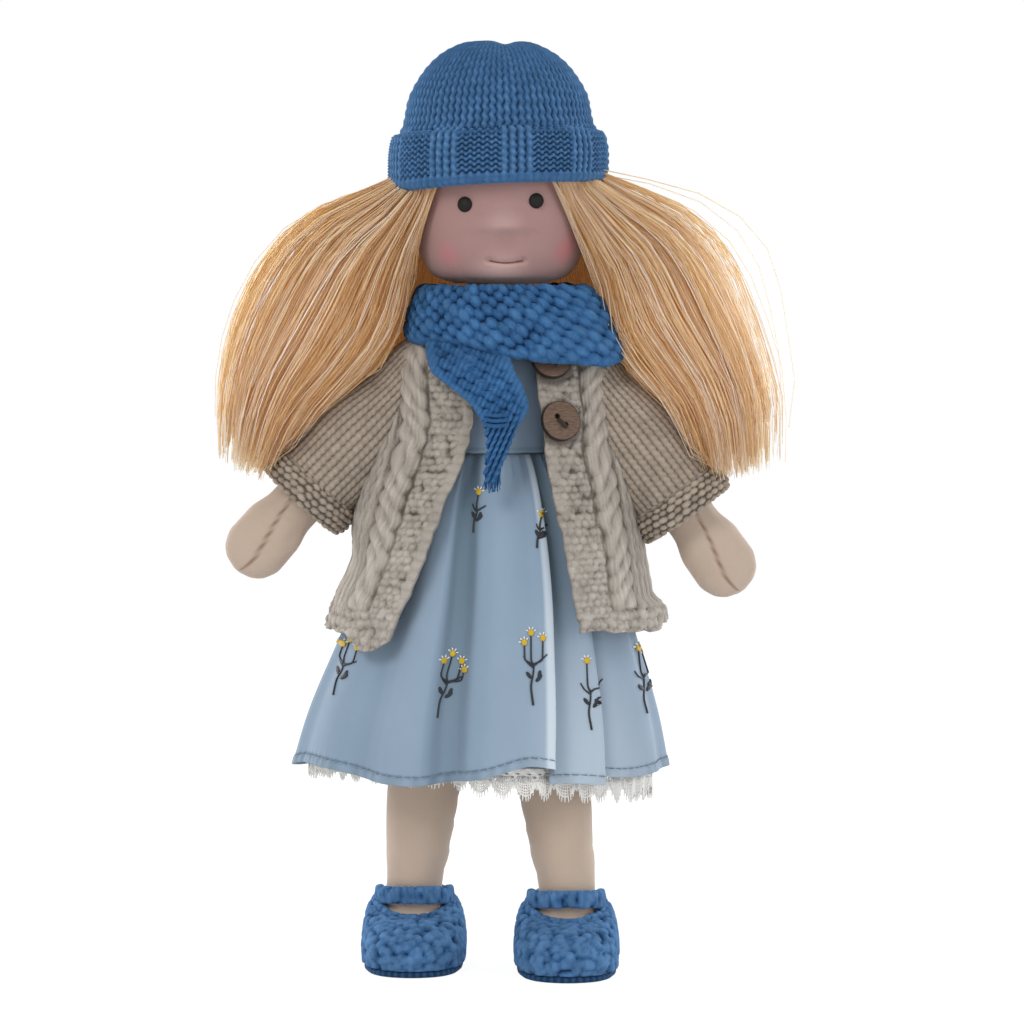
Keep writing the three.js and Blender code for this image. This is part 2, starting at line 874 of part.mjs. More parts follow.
function makeSlippers() {
  for (const side of sides) {
    const rings = shoeShares.map(([forward, wide, tall]) => shoeRing(side, forward, wide, tall));
    const throat = new THREE.CylinderGeometry(1, 1, 2 * shoeHeight, limbSides);
    throat.rotateX(Math.PI / 2);
    throat.scale(throatHalfWidth, (throatFront + throatBack) / 2, 1);
    throat.translate(
      side.ankle,
      (throatBack - throatFront) / 2 - side.step,
      shoeHeight + shoeHeight / 2 + solePlay,
    );
    const upper = toSolid(stuffed(rings))
      .subtract(legSolid(side, gap))
      .subtract(toSolid(throat));
    place(`${side.name}_shoe_upper`, toGeometry(upper), "slipper");
    const outline = [];
    for (const [forward, wide] of shoeShares)
      outline.push(
        new THREE.Vector2(wide * shoeHalfWidth, -forward * (forward < 0 ? shoeHeel : shoeToe)),
      );
    const mirror = outline.map((p) => new THREE.Vector2(-p.x, p.y)).reverse();
    const shape = new THREE.Shape([...outline, ...mirror]);
    const sole = new THREE.ExtrudeGeometry(shape, { depth: soleThickness, bevelEnabled: false });
    sole.translate(side.ankle, -side.step, 0);
    place(`${side.name}_shoe_sole`, sole, "slipper");
  }
}

// Dress bodice: cut to the torso, with armholes.
function makeBodice() {
  const base = waistHeight + gap;
  const within = torsoLevels.filter((height) => height > base && height < bodiceTop);
  const levels = [base, ...within, bodiceTop];
  const outer = levels.map((height) => torsoRing(height, gap + bodiceThickness));
  const inner = levels.map((height) => torsoRing(height, gap));
  let solid = toSolid(clothTube(outer, inner));
  for (const side of sides)
    solid = solid.subtract(toSolid(ball(armhole, side.sign * side.shoulder, 0, shoulderHeight)));
  place("dress_bodice", toGeometry(solid), "dress");
}

// Skirt: gathered at the waist and hanging in soft folds. Columns are width and depth at the hem.
const skirtShares = [
  [0, 0, 0],
  [0.1, 0.17, 0.17],
  [0.25, 0.36, 0.36],
  [0.45, 0.56, 0.55],
  [0.57, 0.66, 0.65],
  [0.84, 0.9, 0.89],
  [1, 1, 1],
];

const foldRampShare = 0.7;
// Two waves make up the folds: depth, folds fewer than the count, start and drift down the skirt.
const foldWaveShares = [
  [0.6, 0, 0.6, 0.5],
  [0.4, 4, 2.1, -0.4],
];

function skirtAt(height) {
  const share = (waistHeight - height) / (waistHeight - hemHeight);
  const waist = torsoAt(waistHeight);
  const top = { halfWidth: waist.halfWidth + skirtEase, halfDepth: waist.halfDepth + skirtEase };
  return {
    x: mix(waist.x, hemLean, Math.min(Math.max(share, 0), 1)),
    halfWidth: mix(top.halfWidth, hemHalfWidth, readTable(skirtShares, share, 1)),
    halfDepth: mix(top.halfDepth, hemHalfDepth, readTable(skirtShares, share, 2)),
    fold: foldDepth * Math.min(Math.max(share, 0), 1) ** foldRampShare,
  };
}

// Fold waves round the skirt, deeper in some places than others.
const foldWave = (angle, share) =>
  foldWaveShares.reduce(
    (sum, [depth, fewer, start, drift]) =>
      sum + depth * Math.cos((foldCount - fewer) * angle + start + drift * share),
    0,
  );

function skirtRing(height, grow) {
  const { x, halfWidth, halfDepth, fold } = skirtAt(height);
  const share = (waistHeight - height) / (waistHeight - hemHeight);
  return turn(clothSides).map((angle) => {
    const wave = fold * foldWave(angle, share);
    return new THREE.Vector3(
      x + (halfWidth + grow + wave) * Math.cos(angle),
      (halfDepth + grow + wave) * Math.sin(angle),
      height,
    );
  });
}

const skirtLevelShares = [1, 0.82, 0.62, 0.42, 0.25, 0.12, 0];

function makeSkirt() {
  const levels = skirtLevelShares.map((t) => mix(waistHeight, hemHeight, t));
  const outer = levels.map((height) => skirtRing(height, 0));
  const inner = levels.map((height) => skirtRing(height, -clothThickness));
  place("skirt", clothTube(outer, inner), "dress");
}

// Petticoat: hangs clear inside the skirt, with a lace edge that shows below the hem.
function petticoatRing(height, grow, drop = 0) {
  const torso = torsoAt(Math.max(height, torsoBottom));
  const skirt = skirtAt(height);
  const share = Math.min(Math.max((petticoatTop - height) / (petticoatTop - petticoatHem), 0), 1);
  const ramp = Math.min(share / petticoatRampShare, 1) ** petticoatFlareShare;
  const inset = clothThickness + petticoatEase;
  const wide = mix(torso.halfWidth + gap + clothThickness, skirt.halfWidth - inset, ramp);
  const deep = mix(torso.halfDepth + gap + clothThickness, skirt.halfDepth - inset, ramp);
  return turn(liningSides).map((angle) => {
    const wave = petticoatFoldShare * skirt.fold * ramp * foldWave(angle, share);
    const x = skirt.x + (wide + grow + wave) * Math.cos(angle);
    const tilt = (-drop * laceFall * (x - hemLean)) / hemHalfWidth;
    return new THREE.Vector3(x, (deep + grow + wave) * Math.sin(angle), height + tilt);
  });
}

function makePetticoat() {
  const levels = petticoatLevelShares.map((t) => mix(petticoatTop, petticoatHem, t));
  const outer = levels.map((height) => petticoatRing(height, 0));
  const inner = levels.map((height) => petticoatRing(height, -clothThickness));
  place("petticoat", clothTube(outer, inner), "lace");
  const edge = laceLevelShares.map((t) => [
    mix(petticoatHem + laceLap, petticoatHem - laceDrop, t),
    t,
  ]);
  const out = edge.map(([height, t]) => petticoatRing(height, gap + clothThickness, t));
  const back = edge.map(([height, t]) => petticoatRing(height, gap, t));
  place("petticoat_lace", clothTube(out, back), "lace");
}

// Cardigan: a back and two open fronts, knitted thick. Rows are height, width and depth as shares.
const cardiganShares = [
  [0, 1, 1],
  [0.15, 0.945, 0.94],
  [0.3, 0.89, 0.86],
  [0.45, 0.84, 0.77],
  [0.6, 0.765, 0.67],
  [0.71, 0.715, 0.585],
  [0.81, 0.695, 0.52],
  [0.88, 0.68, 0.485],
  [0.94, 0.63, 0.44],
  [0.98, 0.51, 0.4],
  [1, 0.335, 0.34],
];

function cardiganAt(height, grow) {
  const share = (height - cardiganHem) / (cardiganTop - cardiganHem);
  const skirt = skirtAt(height);
  const room = skirt.fold + cardiganEase + knitThickness;
  const below = height < waistHeight;
  const halfWidth = cardiganHalfWidth * readTable(cardiganShares, share, 1);
  const halfDepth = cardiganHalfDepth * readTable(cardiganShares, share, 2);
  return {
    x: mix(hemLean / 2, cardiganShift, Math.min(Math.max(share, 0), 1)),
    halfWidth: Math.max(halfWidth, below ? skirt.halfWidth + room : 0) + grow,
    halfDepth: Math.max(halfDepth, below ? skirt.halfDepth + room : 0) + grow,
  };
}

const cardiganPoint = (angle, height, grow, shift) => {
  const { x, halfWidth, halfDepth } = cardiganAt(height, grow);
  return new THREE.Vector3(
    x + halfWidth * Math.cos(angle),
    halfDepth * Math.sin(angle) + shift,
    height,
  );
};

const cardiganLevelShares = [0, 0.15, 0.3, 0.45, 0.6, 0.72, 0.81, 0.88, 0.94, 0.98, 1];

// The front edges: how far across its half-width each front stops, by height.
const rightEdgeShares = [
  [0, 0.58],
  [0.2, 0.48],
  [0.45, 0.35],
  [0.7, 0.22],
  [0.88, 0.26],
  [1, 0.3],
];
const leftEdgeShares = [
  [0, 0.55],
  [0.3, 0.48],
  [0.5, 0.4],
  [0.7, 0.36],
  [0.9, 0.3],
  [1, 0.3],
];

function cardiganSheet(from, to, count, shift) {
  const grid = (grow) =>
    cardiganLevelShares.map((share) => {
      const height = mix(cardiganHem, cardiganTop, share);
      return steps(count).map((t) =>
        cardiganPoint(mix(from(share), to(share), t), height, grow, shift),
      );
    });
  return toSolid(clothPanel(grid(0), grid(-knitThickness)));
}

function makeCardigan() {
  const half = gap / 2;
  const edge = (table) => (share) => Math.acos(readTable(table, share, 1));
  const sheets = [
    ["cardigan_back", () => 0, () => Math.PI, backColumns, half],
    [
      "cardigan_left_front",
      (share) => -edge(leftEdgeShares)(share),
      () => 0,
      frontColumns,
      -half,
    ],
    [
      "cardigan_right_front",
      () => -Math.PI,
      (share) => edge(rightEdgeShares)(share) - Math.PI,
      frontColumns,
      -half,
    ],
  ];
  for (const [name, from, to, count, shift] of sheets) {
    let solid = cardiganSheet(from, to, count, shift);
    for (const side of sides) solid = solid.subtract(sleeveEnvelope(side, gap));
    place(name, toGeometry(solid), "knit");
  }
}

// The whole cardigan as one filled form, let out by grow, for what lies on it.
function cardiganEnvelope(grow) {
  const rings = cardiganLevelShares.map((share) => {
    const height = mix(cardiganHem, cardiganTop + grow, share);
    return turn(2 * backColumns).map((angle) => cardiganPoint(angle, height, grow, 0));
  });
  return toSolid(stuffed(rings));
}

// Buttons: turned wood with two holes, each held by a thread through them.
const buttonBlanks = [];

function makeButtons() {
  ["upper", "lower"].forEach((name, i) => {
    const height = buttonHeights[i];
    const { x, halfWidth, halfDepth } = cardiganAt(height, 0);
    const angle = -Math.acos((buttonPlaces[i] - x) / halfWidth);
    const at = cardiganPoint(angle, height, 0, 0);
    const over = cardiganPoint(angle, height + buttonRadius, 0, 0);
    const normal = new THREE.Vector3(Math.cos(angle) / halfWidth, Math.sin(angle) / halfDepth, 0);
    normal.normalize();
    const slope = Math.atan2(over.clone().sub(at).dot(normal), buttonRadius);
    normal.multiplyScalar(Math.cos(slope));
    normal.z = -Math.sin(slope);
    const group = new THREE.Group();
    group.position.copy(at).addScaledVector(normal, gap + buttonLift);
    group.quaternion.setFromUnitVectors(new THREE.Vector3(0, 1, 0), normal);
    doll.add(group);
    const inner = buttonRadius - buttonEdge;
    const profile = [
      new THREE.Vector2(0, 0),
      new THREE.Vector2(inner, 0),
      new THREE.Vector2(buttonRadius, buttonEdge),
      new THREE.Vector2(buttonRadius, buttonThickness - buttonEdge),
      new THREE.Vector2(inner, buttonThickness),
      new THREE.Vector2(inner - 2 * buttonEdge, buttonThickness - buttonEdge),
      new THREE.Vector2(0, buttonThickness - buttonEdge),
    ];
    let solid = toSolid(new THREE.LatheGeometry(profile, buttonSides));
    for (const sign of [-1, 1]) {
      const hole = new THREE.CylinderGeometry(
        buttonHoleRadius,
        buttonHoleRadius,
        overrun,
        buttonHoleSides,
      );
      hole.translate(sign * buttonHoleOffset, 0, 0);
      solid = solid.subtract(toSolid(hole));
    }
    place(`${name}_button`, toGeometry(solid), "button", group, 0.6);
    const blank = new THREE.CylinderGeometry(
      buttonRadius + layGap,
      buttonRadius + layGap,
      2 * (buttonThickness + 2 * threadRadius + layGap),
      blankSides,
    );
    group.updateMatrixWorld(true);
    buttonBlanks.push(toSolid(blank, group.matrixWorld));
    const bar = new THREE.BoxGeometry(
      2 * (buttonHoleOffset + threadRadius),
      2 * threadRadius,
      2 * threadRadius,
    );
    bar.translate(0, buttonThickness - buttonEdge + gap + threadRadius, 0);
    let thread = toSolid(bar);
    for (const sign of [-1, 1]) {
      const leg = new THREE.CylinderGeometry(
        threadRadius,
        threadRadius,
        buttonThickness,
        buttonHoleSides,
      );
      leg.translate(sign * buttonHoleOffset, buttonThickness / 2, 0);
      thread = thread.add(toSolid(leg));
    }
    place(`${name}_button_thread`, toGeometry(thread), "thread", group);
  });
}

// Wig cap: the crocheted base of the hair, close on the crown and low at the nape.
function makeWigCap() {
  const levels = headLevelShares.filter((share) => share > wigLowestShare);
  const outer = headRings(gap + wigThickness, levels);
  const inner = headRings(gap, levels);
  const size = 4 * headHalfWidth;
  const block = new THREE.BoxGeometry(size, size, size).translate(0, 0, -size / 2);
  const tilt = Math.atan2(wigBackHeight - wigFrontHeight, 2 * headHalfDepth);
  const matrix = new THREE.Matrix4().makeRotationX(tilt);
  matrix.setPosition(headCentre, 0, (wigFrontHeight + wigBackHeight) / 2);
  const solid = toSolid(knittedCup(outer, inner)).subtract(toSolid(block, matrix));
  place("hair_cap", toGeometry(solid), "hair");
}

// Hat: a ribbed crown that closes at the top and a thick turned-up brim.
const hatShares = [
  [0, 0.965],
  [0.03, 1],
  [0.17, 1.005],
  [0.3, 0.985],
  [0.335, 0.93],
  [0.39, 0.878],
  [0.58, 0.8],
  [0.72, 0.67],
  [0.86, 0.485],
  [0.95, 0.28],
  [1, 0.07],
];
const hatLevelShares = [0, 0.03, 0.17, 0.3, 0.335, 0.39, 0.5, 0.6, 0.7, 0.8, 0.88, 0.95, 1];

function hatRings(grow) {
  return hatLevelShares.map((share) => {
    const height = mix(hatBottom - grow, hatTop + grow, share);
    const radius = hatHalfWidth * readTable(hatShares, share, 1) + grow;
    return oval(bodySides, 0, 0, height, radius, radius).map((p) => {
      p.z += (hatFall * (1 - share) * p.x) / hatHalfWidth;
      return p;
    });
  });
}

function makeHat() {
  const levels = headLevelShares.filter((share) => share > hatLowestShare);
  const lining = headRings(2 * gap + wigThickness, levels);
  const first = lining[0].map((p) => new THREE.Vector3(p.x, p.y, hatBottom - overrun));
  let solid = toSolid(stuffed(hatRings(0)));
  solid = solid.subtract(toSolid(stuffed([first, ...lining])));
  place("hat", toGeometry(solid), "hat");
}

// The whole hat as one filled form, let out by grow.
const hatEnvelope = (grow) => toSolid(stuffed(hatRings(grow)));

const headEnvelope = (grow) => toSolid(stuffed(headRings(grow)));

// Scarf: a knitted band round the neck with one corner standing out and a tail in front.

// The band cut across: how far out through its thickness, and how far up.
const bandShares = [
  [0, 0.06],
  [0.55, 0],
  [1, 0.22],
  [1, 0.6],
  [0.72, 0.93],
  [0.35, 1],
  [0, 0.9],
];

function scarfBand(grow) {
  const rings = turn(scarfSides).map((angle) => {
    const corner = Math.exp(-(((angle - scarfCornerAngle) / scarfCornerSpreadAngle) ** 2));
    const front = Math.exp(-(((angle - scarfFrontAngle) / scarfFrontSpreadAngle) ** 2));
    const halfWidth = scarfHalfWidth + scarfCorner * corner;
    const halfDepth = scarfHalfDepth + (scarfCorner / 2) * corner;
    const low = scarfSideHeight - scarfFrontDrop * front - grow;
    const high = scarfTop + grow;
    return bandShares.map(([out, up]) => {
      const inset = (1 - out) * (scarfThickness + 2 * grow) - grow;
      const lean = scarfLean * up;
      return new THREE.Vector3(
        scarfCentre * (1 - up) + (halfWidth - inset - lean) * Math.cos(angle),
        (halfDepth - inset - lean) * Math.sin(angle),
        mix(low, high, up),
      );
    });
  });
  const count = rings[0].length;
  const points = rings.flat();
  const faces = [];
  for (let r = 0; r < rings.length; r++) {
    const next = (r + 1) % rings.length;
    stitchRings(faces, r * count, next * count, count, true, true);
  }
  return toSolid(meshOf(points, faces));
}

const tailShares = [
  [0, -2.15, 0.2],
  [0.24, -1.93, 0.42],
  [0.35, -1.33, 0.67],
  [0.48, -0.67, 0.85],
  [0.6, -0.38, 0.55],
  [0.76, -0.29, 0.24],
  [0.93, -0.38, -0.03],
  [1, -0.33, -0.13],
];

const tailRoundShare = 0.6;

function scarfTail(grow) {
  const rings = tailShares
    .map(([down, left, right]) => {
      const height = mix(tailTop, tailTip, down);
      const middleX = (tailHalfWidth * (left + right)) / 2;
      const halfWidth = (tailHalfWidth * (right - left)) / 2;
      const forward = tailForward + tailSwing * down;
      return turn(tailSides).map((angle) => {
        const x = Math.sign(Math.cos(angle)) * Math.abs(Math.cos(angle)) ** tailRoundShare;
        const y = Math.sign(Math.sin(angle)) * Math.abs(Math.sin(angle)) ** tailRoundShare;
        const across = middleX + (halfWidth + grow) * x;
        const curl = tailCurl * (across / (2 * tailHalfWidth)) ** 2;
        return new THREE.Vector3(
          across,
          curl - forward + (tailThickness / 2 + grow) * y,
          height,
        );
      });
    })
    .reverse();
  return toSolid(stuffed(rings));
}

function scarfSolid(grow) {
  return scarfBand(grow).add(scarfTail(grow));
}

function makeScarf() {
  let solid = scarfSolid(0).subtract(headEnvelope(gap)).subtract(cardiganEnvelope(layGap));
  for (const blank of buttonBlanks) solid = solid.subtract(blank);
  place("scarf", toGeometry(solid), "scarf");
}

// Hair: two long locks that stand out over the shoulders, and one behind.
// Rows are the outer and inner edges of a lock, out from the middle and up from its tips, with its depth.
const rightLockShares = [
  [0.3, 1, 0.2, 0.82, 0.5],
  [0.49, 0.975, 0.26, 0.76, 0.75],
  [0.69, 0.89, 0.29, 0.65, 0.92],
  [0.83, 0.75, 0.34, 0.53, 1],
  [0.92, 0.585, 0.42, 0.385, 1],
  [0.975, 0.415, 0.55, 0.27, 0.92],
  [1, 0.24, 0.66, 0.16, 0.8],
  [1.0, 0.08, 0.76, 0.0, 0.6],
];
const leftLockShares = [
  [0.32, 1, 0.22, 0.82, 0.5],
  [0.52, 0.975, 0.28, 0.74, 0.75],
  [0.7, 0.885, 0.33, 0.62, 0.92],
  [0.82, 0.75, 0.39, 0.49, 1],
  [0.89, 0.6, 0.48, 0.36, 1],
  [0.95, 0.44, 0.59, 0.25, 0.92],
  [1, 0.25, 0.66, 0.12, 0.8],
  [1.0, 0.07, 0.7, 0.0, 0.6],
];

function lockRings(table, sign) {
  const rows = [];
  for (const t of steps(lockSteps)) {
    const place = t * (table.length - 1);
    const i = Math.min(Math.floor(place), table.length - 2);
    rows.push(table[i].map((value, column) => mix(value, table[i + 1][column], place - i)));
  }
  return rows.map(([outX, outZ, inX, inZ, depth]) => {
    const outer = new THREE.Vector2(outX * hairReach, mix(hairTip, hairTop, outZ));
    const inner = new THREE.Vector2(inX * hairReach, mix(hairTip, hairTop, inZ));
    const centre = outer.clone().add(inner).divideScalar(2);
    const half = outer.clone().sub(inner).divideScalar(2);
    return turn(lockSides).map((angle) => {
      const along = Math.cos(angle);
      return new THREE.Vector3(
        sign * (centre.x + half.x * along),
        hairForward + hairHalfDepth * depth * Math.sin(angle) * -sign,
        centre.y + half.y * along,
      );
    });
  });
}

function makeHair() {
  const around = headEnvelope(gap + wigThickness + gap)
    .add(hatEnvelope(gap))
    .add(cardiganEnvelope(layGap))
    .add(scarfSolid(layGap));
  const locks = [
    ["hair_right", rightLockShares, -1],
    ["hair_left", leftLockShares, 1],
  ];
  for (const [name, table, sign] of locks) {
    const side = sides.find((s) => s.sign === sign);
    const solid = toSolid(stuffed(lockRings(table, sign)))
      .subtract(around)
      .subtract(sleeveEnvelope(side, gap));
    place(name, toGeometry(solid), "hair");
  }
  const rows = backLockShares.map(([up, wide, back]) => {
    const height = mix(hairTip, wigBackHeight + backLockLap, up);
    return turn(limbSides).map((angle) => {
      const x = Math.sign(Math.cos(angle)) * Math.abs(Math.cos(angle)) ** backLockRoundShare;
      const y = Math.sin(angle);
      return new THREE.Vector3(
        headCentre + wide * backLockHalfWidth * x,
        back * backLockPlace + backLockHalfDepth * y - backLockCurl * x * x,
        height,
      );
    });
  });
  place("hair_back", toGeometry(toSolid(stuffed(rows)).subtract(around)), "hair");
}

makeTorso();
makeNeck();
makeHead();
makeMouth();
makeArms();
makeLegs();
makeSlippers();
makeBodice();
makeSkirt();
makePetticoat();
makeCardigan();
makeButtons();
makeWigCap();
makeHat();
makeScarf();
makeHair();

export default doll;
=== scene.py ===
"""A waldorf doll in a knitted hat, scarf and cardigan over a cotton dress, dressed over its frame.

Sizes are in millimetres and turn into metres as each mesh is made. The doll faces -Y, and left and right
are the doll's own, so its left is +X.
"""
import math

import bmesh
import bpy
import numpy as np
from mathutils import Matrix, Vector


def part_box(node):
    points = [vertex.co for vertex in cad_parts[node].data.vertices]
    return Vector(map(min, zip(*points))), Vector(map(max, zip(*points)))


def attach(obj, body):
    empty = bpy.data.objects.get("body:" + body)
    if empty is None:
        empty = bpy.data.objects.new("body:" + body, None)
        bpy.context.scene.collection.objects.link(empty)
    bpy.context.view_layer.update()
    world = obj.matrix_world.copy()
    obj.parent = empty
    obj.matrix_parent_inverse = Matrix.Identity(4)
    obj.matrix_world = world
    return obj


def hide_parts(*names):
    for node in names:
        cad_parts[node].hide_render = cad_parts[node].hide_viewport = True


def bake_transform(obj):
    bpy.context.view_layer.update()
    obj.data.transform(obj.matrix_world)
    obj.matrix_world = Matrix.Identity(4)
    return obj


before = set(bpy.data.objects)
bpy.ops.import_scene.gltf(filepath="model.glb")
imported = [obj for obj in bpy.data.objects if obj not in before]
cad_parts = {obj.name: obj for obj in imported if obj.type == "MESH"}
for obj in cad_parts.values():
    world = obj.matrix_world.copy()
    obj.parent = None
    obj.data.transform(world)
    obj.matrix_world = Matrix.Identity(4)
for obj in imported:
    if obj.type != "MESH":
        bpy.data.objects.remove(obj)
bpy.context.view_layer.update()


# Studio: a camera on the doll's chest line, a pale floor, a world that shows white behind, and soft lamps in
# front and behind.
camera_at = Vector((0.0063, -1.6, 0.297))
camera_aim = Vector((0.0063, 0.0, 0.20375))
view_width = 0.4608
sensor_width = 36
camera_data = bpy.data.cameras.new("studio_camera")
camera_data.sensor_width = sensor_width
camera_data.lens = sensor_width * (camera_aim - camera_at).length / view_width
camera = bpy.data.objects.new("studio_camera", camera_data)
camera.location = camera_at
camera.rotation_euler = (camera_aim - camera_at).to_track_quat("-Z", "Y").to_euler()
bpy.context.scene.collection.objects.link(camera)
bpy.context.scene.camera = camera
bpy.context.scene.view_settings.view_transform = "Standard"


def soft_lamp(name, place, aim, width, watts, colour):
    data = bpy.data.lights.new(name, "AREA")
    data.shape = "SQUARE"
    data.size = width
    data.energy = watts
    data.color = colour
    lamp = bpy.data.objects.new(name, data)
    lamp.location = place
    lamp.rotation_euler = (Vector(aim) - Vector(place)).to_track_quat("-Z", "Y").to_euler()
    bpy.context.scene.collection.objects.link(lamp)


soft_lamp("key_lamp", (-0.8, -1.5, 1.3), (0, 0, 0.22), 0.7, 14, (1.0, 0.985, 0.96))
soft_lamp("fill_lamp", (1.3, -1.2, 0.6), (0, 0, 0.2), 0.9, 6, (0.96, 0.98, 1.0))
soft_lamp("left_rim_lamp", (-1.0, 0.9, 0.6), (0, 0, 0.22), 0.8, 12, (1.0, 1.0, 1.0))
soft_lamp("right_rim_lamp", (1.0, 0.9, 0.6), (0, 0, 0.22), 0.8, 12, (1.0, 1.0, 1.0))


def node(tree, kind, inputs=None, **settings):
    """Adds a shader node, sets it, and fills or links its inputs by name or number."""
    made = tree.nodes.new(kind)
    for key, value in settings.items():
        setattr(made, key, value)
    for key, value in (inputs or {}).items():
        if isinstance(value, bpy.types.NodeSocket):
            tree.links.new(value, made.inputs[key])
        else:
            made.inputs[key].default_value = value
    return made


def maths(tree, operation, *values):
    """The result of a sum over values or sockets."""
    return node(tree, "ShaderNodeMath", dict(enumerate(values)), operation=operation).outputs[0]


def colour_mix(tree, share, low, high):
    """The mix of two colours by a share."""
    return node(tree, "ShaderNodeMix", {0: share, 6: low, 7: high}, data_type="RGBA").outputs[2]


def map_range(tree, value, span, ends=(0.0, 1.0), smooth="LINEAR"):
    """A value moved from one span to another."""
    return node(
        tree, "ShaderNodeMapRange",
        {"Value": value, "From Min": span[0], "From Max": span[1], "To Min": ends[0], "To Max": ends[1]},
        interpolation_type=smooth,
    ).outputs["Result"]


def kept(tree, name):
    """The value of a name that the mesh keeps for each point."""
    return node(tree, "ShaderNodeAttribute", attribute_name=name).outputs["Fac"]


def noise(tree, inputs):
    return node(tree, "ShaderNodeTexNoise", inputs).outputs["Fac"]


def bands(tree, vector, scale, distortion, detail_scale, direction):
    """Soft bands that follow each other along one direction."""
    return node(
        tree, "ShaderNodeTexWave",
        {"Vector": vector, "Scale": scale, "Distortion": distortion, "Detail": 1.0,
         "Detail Scale": detail_scale},
        wave_type="BANDS", bands_direction=direction,
    ).outputs["Fac"]


world = bpy.data.worlds.new("studio")
bpy.context.scene.world = world
world.use_nodes = True
world_tree = world.node_tree
world_path = node(world_tree, "ShaderNodeLightPath")
world_seen = maths(
    world_tree, "MAXIMUM", world_path.outputs["Is Camera Ray"], world_path.outputs["Is Glossy Ray"]
)
world_level = map_range(world_tree, world_seen, (0.0, 1.0), (0.55, 1.0))
world_back = world_tree.nodes["Background"]
world_back.inputs["Color"].default_value = (1.0, 1.0, 1.0, 1.0)
world_tree.links.new(world_level, world_back.inputs["Strength"])

bpy.ops.object.select_all(action="DESELECT")
bpy.ops.mesh.primitive_plane_add(size=12, location=(0, 2, 0))
studio_floor = bpy.context.object
studio_floor.name = "studio_floor"
floor_material = bpy.data.materials.new("studio_floor")
floor_material.use_nodes = True
floor_tree = floor_material.node_tree
floor_shader = floor_tree.nodes["Principled BSDF"]
floor_shader.inputs["Base Color"].default_value = (0.86, 0.86, 0.86, 1.0)
floor_shader.inputs["Roughness"].default_value = 0.9
floor_shader.inputs["Specular IOR Level"].default_value = 0.1
floor_path = node(floor_tree, "ShaderNodeLightPath")
floor_glow = node(floor_tree, "ShaderNodeEmission", {"Color": (1.0, 1.0, 1.0, 1.0), "Strength": 1.14})
floor_share = maths(floor_tree, "MULTIPLY", floor_path.outputs["Is Camera Ray"], 0.8)
floor_mix = node(
    floor_tree, "ShaderNodeMixShader",
    {0: floor_share, 1: floor_shader.outputs[0], 2: floor_glow.outputs[0]},
)
floor_tree.links.new(floor_mix.outputs[0], floor_tree.nodes["Material Output"].inputs["Surface"])
studio_floor.data.materials.append(floor_material)


# Limbs: legs and arms of beige cotton jersey, sewn as tubes with a seam and stuffed with wool.
# Each hangs from a round gathered end. Legs end in a foot turned forwards, arms in a mitten hand.
def read_table(rows, share, column):
    """Smooth reading of a table whose rows are a share along and then values."""
    table = np.array(rows, dtype=float)
    places = table[:, 0]
    values = table[:, column]
    step = np.diff(places)
    slope = np.diff(values) / step
    product = slope[:-1] * slope[1:]
    total = slope[:-1] + slope[1:]
    inner = np.where(product > 0, 2 * product / np.where(product > 0, total, 1), 0)
    tangent = np.concatenate([[slope[0]], inner, [slope[-1]]])
    share = np.clip(np.asarray(share, dtype=float), places[0], places[-1])
    i = np.clip(np.searchsorted(places, share, side="right") - 1, 0, len(places) - 2)
    t = (share - places[i]) / step[i]
    return (
        (2 * t**3 - 3 * t**2 + 1) * values[i]
        + (t**3 - 2 * t**2 + t) * step[i] * tangent[i]
        + (3 * t**2 - 2 * t**3) * values[i + 1]
        + (t**3 - t**2) * step[i] * tangent[i + 1]
    )


def mix(a, b, t):
    return a + (b - a) * t


def smooth_step(low, high, value):
    t = np.clip((value - low) / (high - low), 0, 1)
    return t * t * (3 - 2 * t)


def bump(value, centre, spread):
    return np.exp(-(((value - centre) / spread) ** 2))


def full_turn(count):
    """Angles evenly round a whole turn."""
    return np.linspace(0, 2 * math.pi, count, endpoint=False)


def points_of(x, y, z):
    """Points from coordinates that fit the same grid."""
    return np.stack(np.broadcast_arrays(x, y, z), axis=-1)


def unit(vectors, least=1e-9):
    return vectors / np.maximum(np.linalg.norm(vectors, axis=-1, keepdims=True), least)


def out_of_rings(rings):
    """Directions out of each ring's middle."""
    return unit(rings - rings.mean(axis=1, keepdims=True))


def squared(value, power):
    """A sine or cosine bent so that its circle gets flatter sides."""
    return np.sign(value) * np.abs(value) ** power


def run_along(points):
    """Distance along a line of points from its first."""
    return np.concatenate([[0], np.cumsum(np.linalg.norm(np.diff(points, axis=0), axis=1))])


def scatter(i, j, salt=0.0):
    """A fixed random share from 0 to 1 for the pair of whole numbers i and j."""
    raw = np.sin(i * 12.9898 + j * 78.233 + salt * 37.719) * 43758.5453
    return raw - np.floor(raw)


def soft_noise(x, y, salt=0.0):
    """Smooth noise from -1 to 1 over a plane, one cell to a unit."""
    i = np.floor(x)
    j = np.floor(y)
    fx = x - i
    fy = y - j
    sx = fx * fx * (3 - 2 * fx)
    sy = fy * fy * (3 - 2 * fy)
    low = mix(scatter(i, j, salt), scatter(i + 1, j, salt), sx)
    high = mix(scatter(i, j + 1, salt), scatter(i + 1, j + 1, salt), sx)
    return 2 * mix(low, high, sy) - 1


